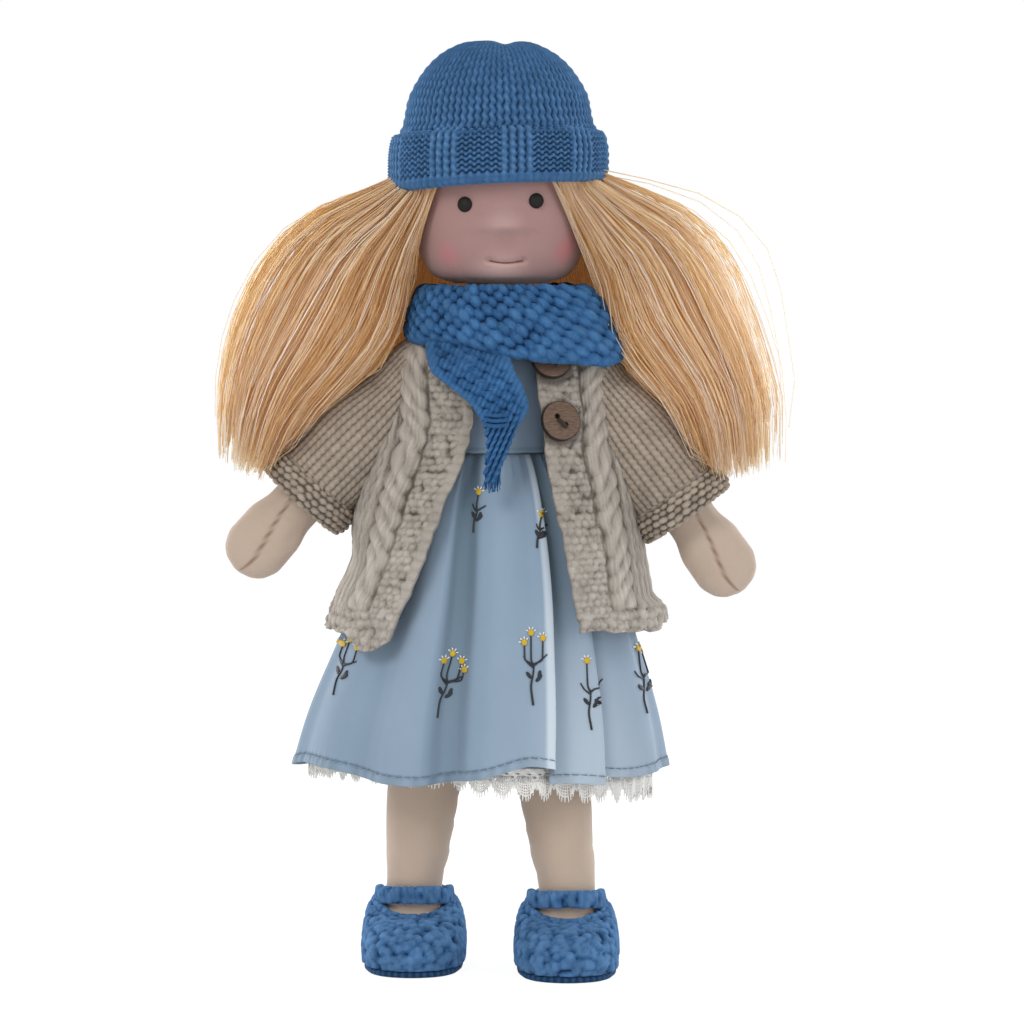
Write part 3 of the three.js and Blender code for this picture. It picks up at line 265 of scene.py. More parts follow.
def mesh_object(name, points, faces, values=None, uvs=None):
    """Makes a smooth mesh object from points in millimetres, with a value per point for each name."""
    mesh = bpy.data.meshes.new(name)
    mesh.from_pydata((np.asarray(points) * 0.001).tolist(), [], faces)
    for key, value in (values or {}).items():
        layer = mesh.attributes.new(key, "FLOAT", "POINT")
        layer.data.foreach_set("value", np.asarray(value, dtype=np.float32).ravel())
    if uvs is not None:
        corners = np.empty(len(mesh.loops), dtype=np.int32)
        mesh.loops.foreach_get("vertex_index", corners)
        layer = mesh.uv_layers.new(name="cloth")
        flat = np.asarray(uvs, dtype=np.float32).reshape(-1, 2)[corners]
        layer.data.foreach_set("uv", flat.ravel())
    mesh.polygons.foreach_set("use_smooth", np.ones(len(mesh.polygons), dtype=bool))
    made = bpy.data.objects.new(name, mesh)
    bpy.context.scene.collection.objects.link(made)
    return made


def grid_faces(rows, columns, wrap, start=0, flip=False):
    r = np.arange(rows - 1)[:, None]
    c = np.arange(columns if wrap else columns - 1)[None, :]
    a = start + r * columns + c
    b = start + r * columns + (c + 1) % columns
    quads = np.stack([a, b, b + columns, a + columns], axis=-1).reshape(-1, 4)
    if flip:
        quads = quads[:, ::-1]
    return quads.tolist()


def stuffed_form(name, rings, values=None):
    """A closed stuffed form over rings that run anticlockwise seen from the last ring's end."""
    rows, columns = rings.shape[:2]
    points = rings.reshape(-1, 3)
    ends = np.array([rings[0].mean(axis=0), rings[-1].mean(axis=0)])
    faces = grid_faces(rows, columns, True)
    low = rows * columns
    for i in range(columns):
        j = (i + 1) % columns
        faces.append([low, j, i])
        faces.append([low + 1, low - columns + i, low - columns + j])
    full = {}
    for key, value in (values or {}).items():
        flat = np.broadcast_to(value, (rows, columns)).reshape(-1)
        full[key] = np.concatenate([flat, [flat[:columns].mean(), flat[-columns:].mean()]])
    return mesh_object(name, np.concatenate([points, ends]), faces, full)


def node_group(name, inputs):
    """A group of shader nodes with named inputs, which gives out a colour and a height."""
    tree = bpy.data.node_groups.new(name, "ShaderNodeTree")
    for key, value in inputs.items():
        kind = "NodeSocketColor" if isinstance(value, tuple) else "NodeSocketFloat"
        tree.interface.new_socket(name=key, in_out="INPUT", socket_type=kind).default_value = value
    tree.interface.new_socket(name="Colour", in_out="OUTPUT", socket_type="NodeSocketColor")
    tree.interface.new_socket(name="Height", in_out="OUTPUT", socket_type="NodeSocketFloat")
    return tree, node(tree, "NodeGroupInput").outputs, node(tree, "NodeGroupOutput").inputs


# Jersey: fine knitted cloth. Its group gives columns of tiny loops, a mottled colour and their height.
jersey, jersey_in, jersey_out = node_group("jersey", {
    "Colour": (0.5, 0.4, 0.32, 1), "Shade": (0.4, 0.3, 0.24, 1), "Wear": 0.35,
})
jersey_at = node(jersey, "ShaderNodeTexCoord").outputs["Object"]
jersey_columns = bands(jersey, jersey_at, 380.0, 1.2, 3.0, "X")
jersey_rows = bands(jersey, jersey_at, 480.0, 1.5, 3.0, "Z")
jersey_loops = maths(jersey, "MULTIPLY", jersey_columns, jersey_rows)
jersey_cloud = noise(jersey, {"Vector": jersey_at, "Scale": 55.0, "Detail": 5.0, "Roughness": 0.6})
jersey_amount = maths(jersey, "MULTIPLY", jersey_cloud, jersey_in["Wear"])
jersey_grain = maths(jersey, "MULTIPLY_ADD", jersey_loops, -0.25, jersey_amount)
jersey_mix = colour_mix(jersey, jersey_grain, jersey_in["Colour"], jersey_in["Shade"])
jersey.links.new(jersey_mix, jersey_out["Colour"])
jersey.links.new(jersey_loops, jersey_out["Height"])


def dress(piece, material, body, stands_for):
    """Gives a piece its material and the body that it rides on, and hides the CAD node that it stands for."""
    piece.data.materials.append(material)
    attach(piece, body)
    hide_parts(stands_for)


def new_material(name, roughness, sheen=0.0, sheen_roughness=0.5):
    made = bpy.data.materials.new(name)
    made.use_nodes = True
    tree = made.node_tree
    shader = tree.nodes["Principled BSDF"]
    shader.inputs["Roughness"].default_value = roughness
    shader.inputs["Sheen Weight"].default_value = sheen
    shader.inputs["Sheen Roughness"].default_value = sheen_roughness
    shader.inputs["Specular IOR Level"].default_value = 0.2
    return made, tree, shader


def add_relief(tree, shader, height, distance, strength=1.0):
    relief = node(
        tree, "ShaderNodeBump", {"Height": height, "Distance": distance, "Strength": strength}
    )
    tree.links.new(relief.outputs[0], shader.inputs["Normal"])


body_cloth, body_tree, body_shader = new_material("body_cloth", 0.9, 0.25)
body_jersey = node(
    body_tree, "ShaderNodeGroup",
    {"Colour": (0.52, 0.415, 0.335, 1), "Shade": (0.37, 0.27, 0.21, 1), "Wear": 0.4},
    node_tree=jersey,
)
body_line = colour_mix(
    body_tree, kept(body_tree, "seam"), body_jersey.outputs["Colour"], (0.24, 0.15, 0.10, 1)
)
body_tree.links.new(body_line, body_shader.inputs["Base Color"])
add_relief(body_tree, body_shader, body_jersey.outputs["Height"], 0.00012, 0.6)

hip_height = 150
hip_lean = -5
leg_ball = 16.8
leg_radius = 16.6
ankle_radius = 12.6
ankle_height = 34
sole_thickness = 3
cloth_gap = 0.4
foot_reach = 41
foot_half_width = 18.5
foot_half_height = 10
legs = {
    "right": {"hip": -27.0, "ankle": -37.9, "step": 0.0},
    "left": {"hip": 17.0, "ankle": 30.7, "step": 12.0},
}
leg_shares = [(0.066, 0.94), (0.15, 0.91), (0.29, 0.965), (0.5, 1.0), (0.62, 0.975)]
foot_shares = [
    (0.02, 1.85, 0.82, 1.42),
    (-0.16, 1.25, 0.94, 1.1),
    (-0.42, 0.86, 0.97, 0.86),
    (-0.68, 0.76, 0.88, 0.74),
    (-0.84, 0.66, 0.62, 0.52),
    (-0.92, 0.6, 0.25, 0.24),
]


def leg_stations(leg):
    drop = hip_height - ankle_height
    rows = []
    for t in (0.97, 0.85, 0.6, 0.3, 0.0):
        rise = leg_ball * t
        radius = math.sqrt(leg_ball**2 - rise**2)
        rows.append((leg["hip"], 0.0, hip_height + rise, radius, radius))
    for t, share in leg_shares:
        x = mix(leg["hip"], leg["ankle"], t)
        rows.append((x, -leg["step"] * t, hip_height - t * drop, leg_radius * share, leg_radius * share))
    mid = (leg_radius + ankle_radius) / 2
    shin = mix(leg["hip"], leg["ankle"], 0.8)
    rows.append((shin, -leg["step"] * 0.8, hip_height - 0.8 * drop, mid, mid))
    rows.append((leg["ankle"], -leg["step"], ankle_height, ankle_radius, ankle_radius))
    floor = sole_thickness + cloth_gap
    for forward, rise, wide, deep in foot_shares:
        rows.append((
            leg["ankle"], forward * foot_reach - leg["step"], floor + rise * foot_half_height,
            wide * foot_half_width, deep * foot_half_height,
        ))
    return rows


def path_rings(stations, rows, columns):
    """Rings square to a smooth path through the stations (x, y, z, half-width, half-depth)."""
    table = [(i, *station) for i, station in enumerate(stations)]
    share = np.linspace(0, len(stations) - 1, rows)
    centre = np.stack([read_table(table, share, k) for k in (1, 2, 3)], axis=-1)
    wide = read_table(table, share, 4)[:, None, None]
    deep = read_table(table, share, 5)[:, None, None]
    across = np.array([1.0, 0.0, 0.0])
    through = unit(np.cross(unit(np.gradient(centre, axis=0)), across))
    angle = full_turn(columns)[None, :, None]
    side = across[None, None, :] * np.cos(angle)
    face = through[:, None, :] * np.sin(angle)
    return centre[:, None, :] + wide * side + deep * face, share, angle[0, :, 0]


for name, leg in legs.items():
    rings, share, angle = path_rings(leg_stations(leg), 110, 60)
    inner_side = 0.0 if name == "right" else math.pi
    turn = np.abs((angle - inner_side + math.pi) % (2 * math.pi) - math.pi)[None, :]
    seam = bump(turn, 0, 0.045) * (share[:, None] > 1)
    pucker = bump(turn, 0, 0.35) * np.sin(rings[:, :1, 2] * 1.15) * smooth_step(4, 8, share)[:, None]
    slack = soft_noise(angle[None, :] * 1.6 + 5, rings[:, :1, 2] * 0.085 + 3 * inner_side, 2.0)
    ankle_slack = soft_noise(angle[None, :] * 1.2, rings[:, :1, 2] * 0.22, 4.0)
    ankle_slack = ankle_slack * bump(rings[:, :1, 2], 42, 14)
    lift = 0.35 * slack + 0.55 * ankle_slack + 0.28 * pucker - 0.5 * seam
    rings = rings + out_of_rings(rings) * lift[:, :, None]
    rings[:, :, 2] = np.maximum(rings[:, :, 2], sole_thickness + cloth_gap)
    leg_piece = stuffed_form(f"{name}_leg_cloth", rings, {"seam": seam})
    dress(leg_piece, body_cloth, f"{name}_leg", f"{name}_leg")

# Hip seam: the flat gathered strip of body cloth between the legs, stitched across.
hip_half = 4.8
hip_angle = full_turn(64)
hip_rows = np.linspace(-1, 1, 24)
hip_radius = 16.2 - 0.5 * bump(hip_rows[:, None], 0, 0.12) + 0.25 * np.sin(hip_angle * 22)[None, :]
hip_rings = points_of(
    hip_lean + hip_half * hip_rows[:, None],
    hip_radius * np.cos(hip_angle)[None, :],
    hip_height + hip_radius * np.sin(hip_angle)[None, :],
)
hip_seam = stuffed_form("hip_seam_cloth", hip_rings, {"seam": bump(hip_rows[:, None], 0, 0.12)})
dress(hip_seam, body_cloth, "hips", "hip_seam")

shoulder_height = 267
arm_radius = 13.5
hand_half_width = 14
arm_length = 121
gather_radius = 8.9
socket_radius = 9.4
arms = {
    "right": {"sign": -1, "shoulder": 36.0, "splay": math.radians(42.5)},
    "left": {"sign": 1, "shoulder": 40.0, "splay": math.radians(35.3)},
}
arm_shares = [
    (0.05, 0.66, 0.66),
    (0.13, 0.93, 0.9),
    (0.33, 1, 1),
    (0.58, 0.93, 0.9),
    (0.7, 0.86, 0.74),
    (0.8, 1.02, 0.72),
    (0.89, 1.04, 0.7),
    (0.95, 0.86, 0.58),
    (0.985, 0.54, 0.38),
    (1, 0.16, 0.12),
]


def arm_place(arm, points):
    """Moves points from an arm lying down -Z at the origin to its place on the doll."""
    turn = -arm["sign"] * arm["splay"]
    x = points[..., 0] * math.cos(turn) + points[..., 2] * math.sin(turn)
    z = points[..., 2] * math.cos(turn) - points[..., 0] * math.sin(turn)
    return points_of(arm["sign"] * arm["shoulder"] + x, points[..., 1], shoulder_height + z)


for name, arm in arms.items():
    share = np.concatenate([np.linspace(0.05, 0.95, 80), np.linspace(0.955, 1, 18)])[::-1]
    angle = full_turn(64)
    reach = mix(arm_radius, hand_half_width, smooth_step(0.62, 0.74, share))
    wide = (read_table(arm_shares, share, 1) * reach)[:, None]
    deep = (read_table(arm_shares, share, 2) * arm_radius)[:, None]
    seam_at = -math.pi / 2 + arm["sign"] * (0.28 - 0.5 * smooth_step(0.62, 0.98, share))
    turn = np.abs((angle[None, :] - seam_at[:, None] + math.pi) % (2 * math.pi) - math.pi)
    seam = bump(turn, 0, 0.05) * smooth_step(1.0, 0.985, share)[:, None]
    beside = bump(turn, 0, 0.32) * np.sin(share * arm_length * 1.5)[:, None]
    fold = soft_noise(angle[None, :] * 2.2 + 9, share[:, None] * 9 + arm["sign"], 6.0)
    fold = fold * bump(share, 0.74, 0.13)[:, None]
    lift = 0.55 * fold + 0.18 * beside - 0.55 * seam
    rings = points_of(
        (wide + lift) * np.cos(angle)[None, :],
        (deep + lift) * np.sin(angle)[None, :],
        -share[:, None] * arm_length,
    )
    arm_piece = stuffed_form(f"{name}_arm_cloth", arm_place(arm, rings), {"seam": seam})
    dress(arm_piece, body_cloth, f"{name}_arm", f"{name}_arm")
    latitude = np.linspace(-0.49, 0.49, 22) * math.pi
    gather = 1 + 0.035 * np.sin(angle * 13)[None, :] * np.cos(latitude)[:, None]
    cap = points_of(
        gather_radius * gather * np.cos(latitude)[:, None] * np.cos(angle)[None, :],
        gather_radius * gather * np.cos(latitude)[:, None] * np.sin(angle)[None, :],
        gather_radius * np.sin(latitude)[:, None],
    )
    cap_piece = stuffed_form(f"{name}_shoulder_gather", arm_place(arm, cap), {"seam": 0.0})
    dress(cap_piece, body_cloth, f"{name}_shoulder", f"{name}_shoulder_seam")


# Body and neck: a stuffed jersey bag that leans to its hips, and a firm stalk on which the head nods.
waist_height = 230.5
torso_bottom = 167.2
torso_top = 286
torso_half_width = 34
torso_half_depth = 20
torso_shares = [
    (0, 0.62, 0.66),
    (0.03, 0.86, 0.86),
    (0.12, 1, 1),
    (0.3, 0.96, 1),
    (0.5, 0.88, 0.94),
    (0.7, 0.88, 1),
    (0.85, 0.84, 0.92),
    (0.94, 0.66, 0.8),
    (1, 0.46, 0.7),
]


def torso_at(height):
    """Centre, half-width and half-depth of the body at a height."""
    share = (height - torso_bottom) / (torso_top - torso_bottom)
    return (
        hip_lean * (1 - np.clip(share, 0, 1)),
        torso_half_width * read_table(torso_shares, share, 1),
        torso_half_depth * read_table(torso_shares, share, 2),
    )


def oval_rings(x, half_width, half_depth, height, angle):
    """Level rings: every argument but the angle has one value for each ring or each point."""
    shape = (len(height), len(angle))
    column = [np.broadcast_to(np.asarray(v, dtype=float).reshape(len(height), -1), shape)
              for v in (x, half_width, half_depth, height)]
    return points_of(
        column[0] + column[1] * np.cos(angle)[None, :], column[2] * np.sin(angle)[None, :], column[3]
    )


torso_rows = np.linspace(torso_bottom, torso_top, 60)
torso_angle = full_turn(80)
torso_x, torso_wide, torso_deep = torso_at(torso_rows)
torso_slack = 0.25 * soft_noise(torso_angle[None, :] * 2, torso_rows[:, None] * 0.1, 1.0)
torso_rings = oval_rings(
    torso_x, torso_wide[:, None] + torso_slack, torso_deep[:, None] + torso_slack, torso_rows, torso_angle
)
for arm in arms.values():
    socket_at = np.array([arm["sign"] * arm["shoulder"], 0, shoulder_height])
    away = torso_rings - socket_at
    distance = np.linalg.norm(away, axis=2, keepdims=True)
    pushed = socket_at + away / distance * np.maximum(distance, socket_radius)
    torso_rings = np.where(distance < socket_radius, pushed, torso_rings)
torso_piece = stuffed_form("torso_cloth", torso_rings, {"seam": 0.0})
dress(torso_piece, body_cloth, "torso", "torso")

neck_bottom = 286.4
neck_top = 321.9
neck_radii = [
    (neck_bottom, 13.9), (293.6, 11.6), (300.8, 11.5), (308, 13.9), (314, 12.7), (319, 9), (neck_top, 2),
]
neck_rows = np.linspace(neck_bottom, neck_top, 48)
neck_angle = full_turn(48)
neck_radius = read_table(neck_radii, neck_rows, 1)[:, None]
neck_radius = neck_radius * (1 - 0.012 * (1 + np.sin(neck_angle * 9))[None, :])
neck_rings = oval_rings(0.0 * neck_rows, neck_radius, neck_radius, neck_rows, neck_angle)
neck_piece = stuffed_form("neck_cloth", neck_rings, {"seam": 0.0})
dress(neck_piece, body_cloth, "neck", "neck")


# Head: a firm wool ball under pink-toned jersey, tied at the eye line and given a small nose.
# The cheeks are rubbed with red crayon, and the mouth is one stitched thread with tucked corners.
head_bottom = 306.5
head_top = 409
head_x = 1.3
head_half_width = 39.5
head_half_depth = 40
mouth_height = 315.2
mouth_smile = 0.02
head_shares = [
    (0, 0.52, 0.45),
    (0.03, 0.74, 0.66),
    (0.08, 0.86, 0.8),
    (0.15, 0.935, 0.9),
    (0.25, 0.98, 0.97),
    (0.36, 1, 1),
    (0.5, 0.985, 1),
    (0.6, 0.95, 0.965),
    (0.68, 0.9, 0.92),
    (0.8, 0.78, 0.81),
    (0.893, 0.61, 0.63),
    (0.95, 0.45, 0.47),
    (0.98, 0.31, 0.33),
    (1, 0.1, 0.1),
]


def head_at(height):
    share = (height - head_bottom) / (head_top - head_bottom)
    wide = head_half_width * read_table(head_shares, share, 1)
    return wide, head_half_depth * read_table(head_shares, share, 2)


def head_surface(angle, height, grow=0.0):
    """Points of the head: nose, eye line and mouth tuck are worked into the front."""
    half_width, half_depth = head_at(height)
    x = head_x + (half_width + grow) * np.cos(angle)
    across = x - head_x
    nose_shape = 0.75 * bump(height, 333.2, 4.6) + 0.35 * bump(height, 330.5, 2.4)
    nose = 3.6 * bump(across, 1.8, 12.5) * nose_shape
    eye_line = 1.5 * bump(height, 341.5, 5.0) * bump(across, 0, 30)
    lips = across - 2.3
    tuck = 1.1 * bump(height, mouth_height + mouth_smile * lips**2, 1.0) * smooth_step(9.5, 6.5, np.abs(lips))
    corners = 1.5 * (bump(lips, -7.3, 1.3) + bump(lips, 7.3, 1.3)) * bump(height, 316.3, 1.3)
    chin = 0.7 * bump(across, 0, 9) * bump(height, 311.5, 4)
    front = np.where(np.sin(angle) < 0, nose - eye_line - tuck - corners + chin, 0)
    return points_of(x, (half_depth + grow) * np.sin(angle) - front, height)


head_rows = np.concatenate([
    np.linspace(head_bottom, 311, 14, endpoint=False),
    np.linspace(311, 350, 90, endpoint=False),
    np.linspace(350, head_top - 0.2, 46),
])
head_turn = full_turn(200)
head_rings = head_surface(head_turn[None, :], head_rows[:, None])
head_piece = stuffed_form("head_cloth", head_rings)
face_cloth, face_tree, face_shader = new_material("face_cloth", 0.85, 0.3)
face_jersey = node(
    face_tree, "ShaderNodeGroup",
    {"Colour": (0.375, 0.225, 0.212, 1), "Shade": (0.295, 0.165, 0.160, 1), "Wear": 0.45},
    node_tree=jersey,
)
face_place = node(face_tree, "ShaderNodeTexCoord")


def face_spot(at, inner, outer):
    """A soft round mask on the face, full within one radius and gone past the other."""
    near = node(
        face_tree, "ShaderNodeVectorMath",
        {0: face_place.outputs["Object"], 1: at},
        operation="DISTANCE",
    )
    return map_range(face_tree, near.outputs["Value"], (inner, outer), (1.0, 0.0), "SMOOTHERSTEP")


face_colour = face_jersey.outputs["Colour"]
# Spots on the jersey: red crayon on each cheek, a painted highlight on the nose, painted light over the chin
# and a painted shadow under the nose.
for at, inner, outer, strength, colour in (
    ((-0.0252, -0.0305, 0.3162), 0.0, 0.0125, 0.85, (0.54, 0.160, 0.20, 1)),
    ((0.0336, -0.0245, 0.3200), 0.0, 0.0125, 0.85, (0.52, 0.150, 0.17, 1)),
    # Painted highlight on the nose.
    ((0.0030, -0.045, 0.3338), 0.0, 0.0145, 0.50, (0.53, 0.36, 0.335, 1)),
    # Painted light over the chin.
    ((0.0013, -0.036, 0.3020), 0.0, 0.024, 0.90, (0.72, 0.50, 0.46, 1)),
    # Painted shadow under the nose.
    ((0.0036, -0.038, 0.3265), 0.001, 0.0085, 0.30, (0.27, 0.155, 0.145, 1)),
):
    amount = maths(face_tree, "MULTIPLY", face_spot(at, inner, outer), strength)
    face_colour = colour_mix(face_tree, amount, face_colour, colour)
face_tree.links.new(face_colour, face_shader.inputs["Base Color"])
add_relief(face_tree, face_shader, face_jersey.outputs["Height"], 0.0001, 0.5)
dress(head_piece, face_cloth, "head", "head")


def head_front(x, height, out=0.0):
    """The point of the face at x and a height, moved out of it by a distance."""
    half_width, _ = head_at(np.asarray(height, dtype=float))
    angle = -np.arccos(np.clip((x - head_x) / half_width, -1, 1))
    return head_surface(np.asarray(angle), np.asarray(height, dtype=float), out)


def swept_tube(path, radius, sides):
    """Points and faces of a closed round thread along a path; radius has one value per point."""
    path = np.asarray(path, dtype=float)
    count = len(path)
    along = unit(np.gradient(path, axis=0))
    guide = np.where(np.abs(along[:, :1]) > 0.9, [[0.0, 0.0, 1.0]], [[1.0, 0.0, 0.0]])
    first = unit(np.cross(along, guide))
    second = np.cross(along, first)
    angle = full_turn(sides)
    ring = (
        first[:, None, :] * np.cos(angle)[None, :, None]
        + second[:, None, :] * np.sin(angle)[None, :, None]
    )
    points = path[:, None, :] + ring * np.broadcast_to(radius, (count,))[:, None, None]
    faces = grid_faces(count, sides, True)
    faces.append(list(range(sides))[::-1])
    faces.append([(count - 1) * sides + i for i in range(sides)])
    return points.reshape(-1, 3), faces


def join_parts(parts):
    """Puts (points, faces) pairs together into one."""
    points = []
    faces = []
    start = 0
    for part_points, part_faces in parts:
        points.append(part_points)
        faces.extend([[start + i for i in face] for face in part_faces])
        start += len(part_points)
    return np.concatenate(points), faces


mouth_thread, mouth_tree, mouth_shader = new_material("mouth_thread", 0.7)
mouth_tone = colour_mix(
    mouth_tree, noise(mouth_tree, {"Scale": 900.0, "Detail": 3.0}),
    (0.13, 0.045, 0.035, 1), (0.27, 0.12, 0.09, 1),
)
mouth_tree.links.new(mouth_tone, mouth_shader.inputs["Base Color"])
mouth_parts = []
for start, end in ((-7.2, -2.2), (-2.6, 2.9), (2.5, 7.3)):
    mouth_x = np.linspace(start, end, 14)
    mouth_z = mouth_height + mouth_smile * mouth_x**2
    lift = 0.05 + 0.3 * np.sin(np.linspace(0.15, math.pi - 0.15, 14))
    for twist in (0.0, math.pi):
        ply = 0.16 * np.cos(mouth_x * 3.2 + twist)
        path = head_front(mouth_x + 3.6, mouth_z + ply)
        path[:, 1] -= lift + 0.16 * np.sin(mouth_x * 3.2 + twist)
        mouth_parts.append(swept_tube(path, 0.2, 6))
mouth_piece = mesh_object("mouth_thread_stitch", *join_parts(mouth_parts))
dress(mouth_piece, mouth_thread, "head", "mouth_stitch")

# Eyes: domed black glass beads, dull from handling, each sunk a little into the face on its shank.
bead_black, bead_tree, bead_shader = new_material("bead_black", 0.6)
bead_shader.inputs["Specular IOR Level"].default_value = 0.22
bead_noise = noise(bead_tree, {"Scale": 700.0, "Detail": 4.0})
bead_tone = colour_mix(bead_tree, bead_noise, (0.006, 0.006, 0.006, 1), (0.018, 0.015, 0.014, 1))
bead_gloss = map_range(bead_tree, bead_noise, (0.0, 1.0), (0.5, 0.75))
bead_tree.links.new(bead_tone, bead_shader.inputs["Base Color"])
bead_tree.links.new(bead_gloss, bead_shader.inputs["Roughness"])
for name, sign in (("right", -1), ("left", 1)):
    eye_low, eye_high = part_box(f"{name}_eye")
    eye_at = (Vector(eye_low) + Vector(eye_high)) / 2
    bpy.ops.object.select_all(action="DESELECT")
    bpy.ops.mesh.primitive_uv_sphere_add(segments=32, ring_count=20, radius=0.0034, location=(0, 0, 0))
    eye_piece = bpy.context.object
    eye_piece.name = f"{name}_bead_eye"
    eye_z = 342.3 if sign > 0 else 340.7
    eye_x = eye_at.x * 1000
    slope = head_front(eye_x + 3.0, eye_z)[1] - head_front(eye_x - 3.0, eye_z)[1]
    eye_piece.scale = (1.0, 0.62, 1.0)
    eye_piece.rotation_euler = (0, 0, math.atan2(slope, 6.0))
    surface = head_front(eye_x, eye_z) * 0.001
    eye_piece.location = (eye_at.x, surface[1] - 0.0003, eye_z * 0.001)
    bpy.ops.object.transform_apply(location=True, rotation=True, scale=True)
    bpy.ops.object.shade_smooth()
    dress(eye_piece, bead_black, "head", f"{name}_eye")


# Slippers: curly blue wool, knitted as one upper with a rolled edge and a strap over the ankle,
# sewn to a flat soft sole. The curls are lumps of loop standing off the ground cloth.
def cell_bumps(points, size, salt):
    """Rounded lumps round scattered centres in space: their height and a random share for each."""
    place = points / size
    cell = np.floor(place)
    nearest = np.full(len(points), 9.0)
    tint = np.zeros(len(points))
    for dx in (-1, 0, 1):
        for dy in (-1, 0, 1):
            for dz in (-1, 0, 1):
                at = cell + np.array([dx, dy, dz])
                key = at[:, 0] + 3.7 * at[:, 2]
                one, two, three = (scatter(key, at[:, 1], salt + k) for k in range(3))
                centre = at + np.stack([one, two, three], axis=-1)
                distance = np.linalg.norm(place - centre, axis=1)
                closer = distance < nearest
                nearest = np.where(closer, distance, nearest)
                tint = np.where(closer, scatter(one * 91, two * 57, salt + 3), tint)
    return np.sqrt(np.clip(1 - (nearest / 0.85) ** 2, 0, 1)), tint


yarn, yarn_in, yarn_out = node_group("yarn", {
    "Deep": (0.01, 0.03, 0.08, 1), "Body": (0.05, 0.14, 0.3, 1), "Light": (0.14, 0.3, 0.55, 1),
    "Pile": 0.5, "Tint": 0.5, "Fibre Scale": 1400.0,
})
yarn_at = node(yarn, "ShaderNodeTexCoord").outputs["Object"]
yarn_fibre = noise(yarn, {
    "Vector": yarn_at, "Scale": yarn_in["Fibre Scale"], "Detail": 3.0, "Roughness": 0.7, "Distortion": 0.6,
})
yarn_cloud = noise(yarn, {"Vector": yarn_at, "Scale": 90.0, "Detail": 3.0})
yarn_lift = maths(yarn, "MULTIPLY_ADD", yarn_fibre, 0.5, -0.25)
yarn_level = maths(yarn, "ADD", yarn_in["Pile"], yarn_lift)
# Painted shade and light: the colour goes from Deep in the knit's low hollows through Body to Light on its
# raised loops.
yarn_low = map_range(yarn, yarn_level, (0.0, 0.55), smooth="SMOOTHSTEP")
yarn_high = map_range(yarn, yarn_level, (0.55, 1.25))
yarn_dark = colour_mix(yarn, yarn_low, yarn_in["Deep"], yarn_in["Body"])
yarn_bright = colour_mix(yarn, yarn_high, yarn_dark, yarn_in["Light"])
yarn_shade = maths(yarn, "MULTIPLY_ADD", yarn_in["Tint"], 0.32, 0.58)
yarn_value = maths(yarn, "MULTIPLY_ADD", yarn_cloud, 0.5, yarn_shade)
yarn_tone = node(yarn, "ShaderNodeHueSaturation", {"Color": yarn_bright, "Value": yarn_value})
yarn.links.new(yarn_tone.outputs["Color"], yarn_out["Colour"])
yarn.links.new(yarn_fibre, yarn_out["Height"])


def yarn_material(name, deep, body, light, fibre_scale=1400.0, relief=0.00025, sheen=0.35):
    """A wool yarn whose colour follows the pile height and stitch tint kept on the mesh: dark in low pile and
    light in high pile, painted shade in the knit's hollows and painted light on its raised loops.
    """
    made, tree, shader = new_material(name, 0.92, sheen, 0.6)
    wool = node(
        tree, "ShaderNodeGroup",
        {"Deep": (*deep, 1), "Body": (*body, 1), "Light": (*light, 1), "Pile": kept(tree, "pile"),
         "Tint": kept(tree, "tint"), "Fibre Scale": fibre_scale},
        node_tree=yarn,
    )
    tree.links.new(wool.outputs["Colour"], shader.inputs["Base Color"])
    add_relief(tree, shader, wool.outputs["Height"], relief, 0.8)
    shader.inputs["Sheen Tint"].default_value = (*light, 1)
    shader.inputs["Specular IOR Level"].default_value = 0.12
    return made


boucle = yarn_material(
    "boucle", (0.006, 0.022, 0.06), (0.033, 0.103, 0.245), (0.12, 0.26, 0.48), 1700.0, 0.0005, 0.5
)

shoe_half_width = 23
roll_sides = 16
shoe_heel = 22.5
shoe_toe = 45.5
shoe_shares = [
    (-1, 0.12), (-0.86, 0.62), (-0.55, 0.93), (-0.1, 1), (0.2, 1), (0.45, 0.98), (0.7, 0.88),
    (0.87, 0.68), (0.96, 0.42), (1, 0.14),
]


def shoe_outline(angle):
    """Distance from the shoe's middle to its edge, for an angle about that middle."""
    forward = np.linspace(-1, 1, 400)
    wide = read_table(shoe_shares, forward, 1) * shoe_half_width
    y = -forward * np.where(forward < 0, shoe_heel, shoe_toe) - shoe_middle
    edge = np.concatenate([np.stack([wide, y], axis=-1), np.stack([-wide[::-1], y[::-1]], axis=-1)])
    around = np.arctan2(edge[:, 1], edge[:, 0])
    order = np.argsort(around)
    return np.interp(
        (angle + math.pi) % (2 * math.pi) - math.pi,
        around[order], np.linalg.norm(edge, axis=1)[order], period=2 * math.pi,
    )


def loft_normals(grid, wrap):
    """Outward unit normals of a grid whose rows rise and whose columns run anticlockwise."""
    if wrap:
        across = np.roll(grid, -1, axis=1) - np.roll(grid, 1, axis=1)
    else:
        across = np.gradient(grid, axis=1)
    up = np.gradient(grid, axis=0)
    return unit(np.cross(across, up))


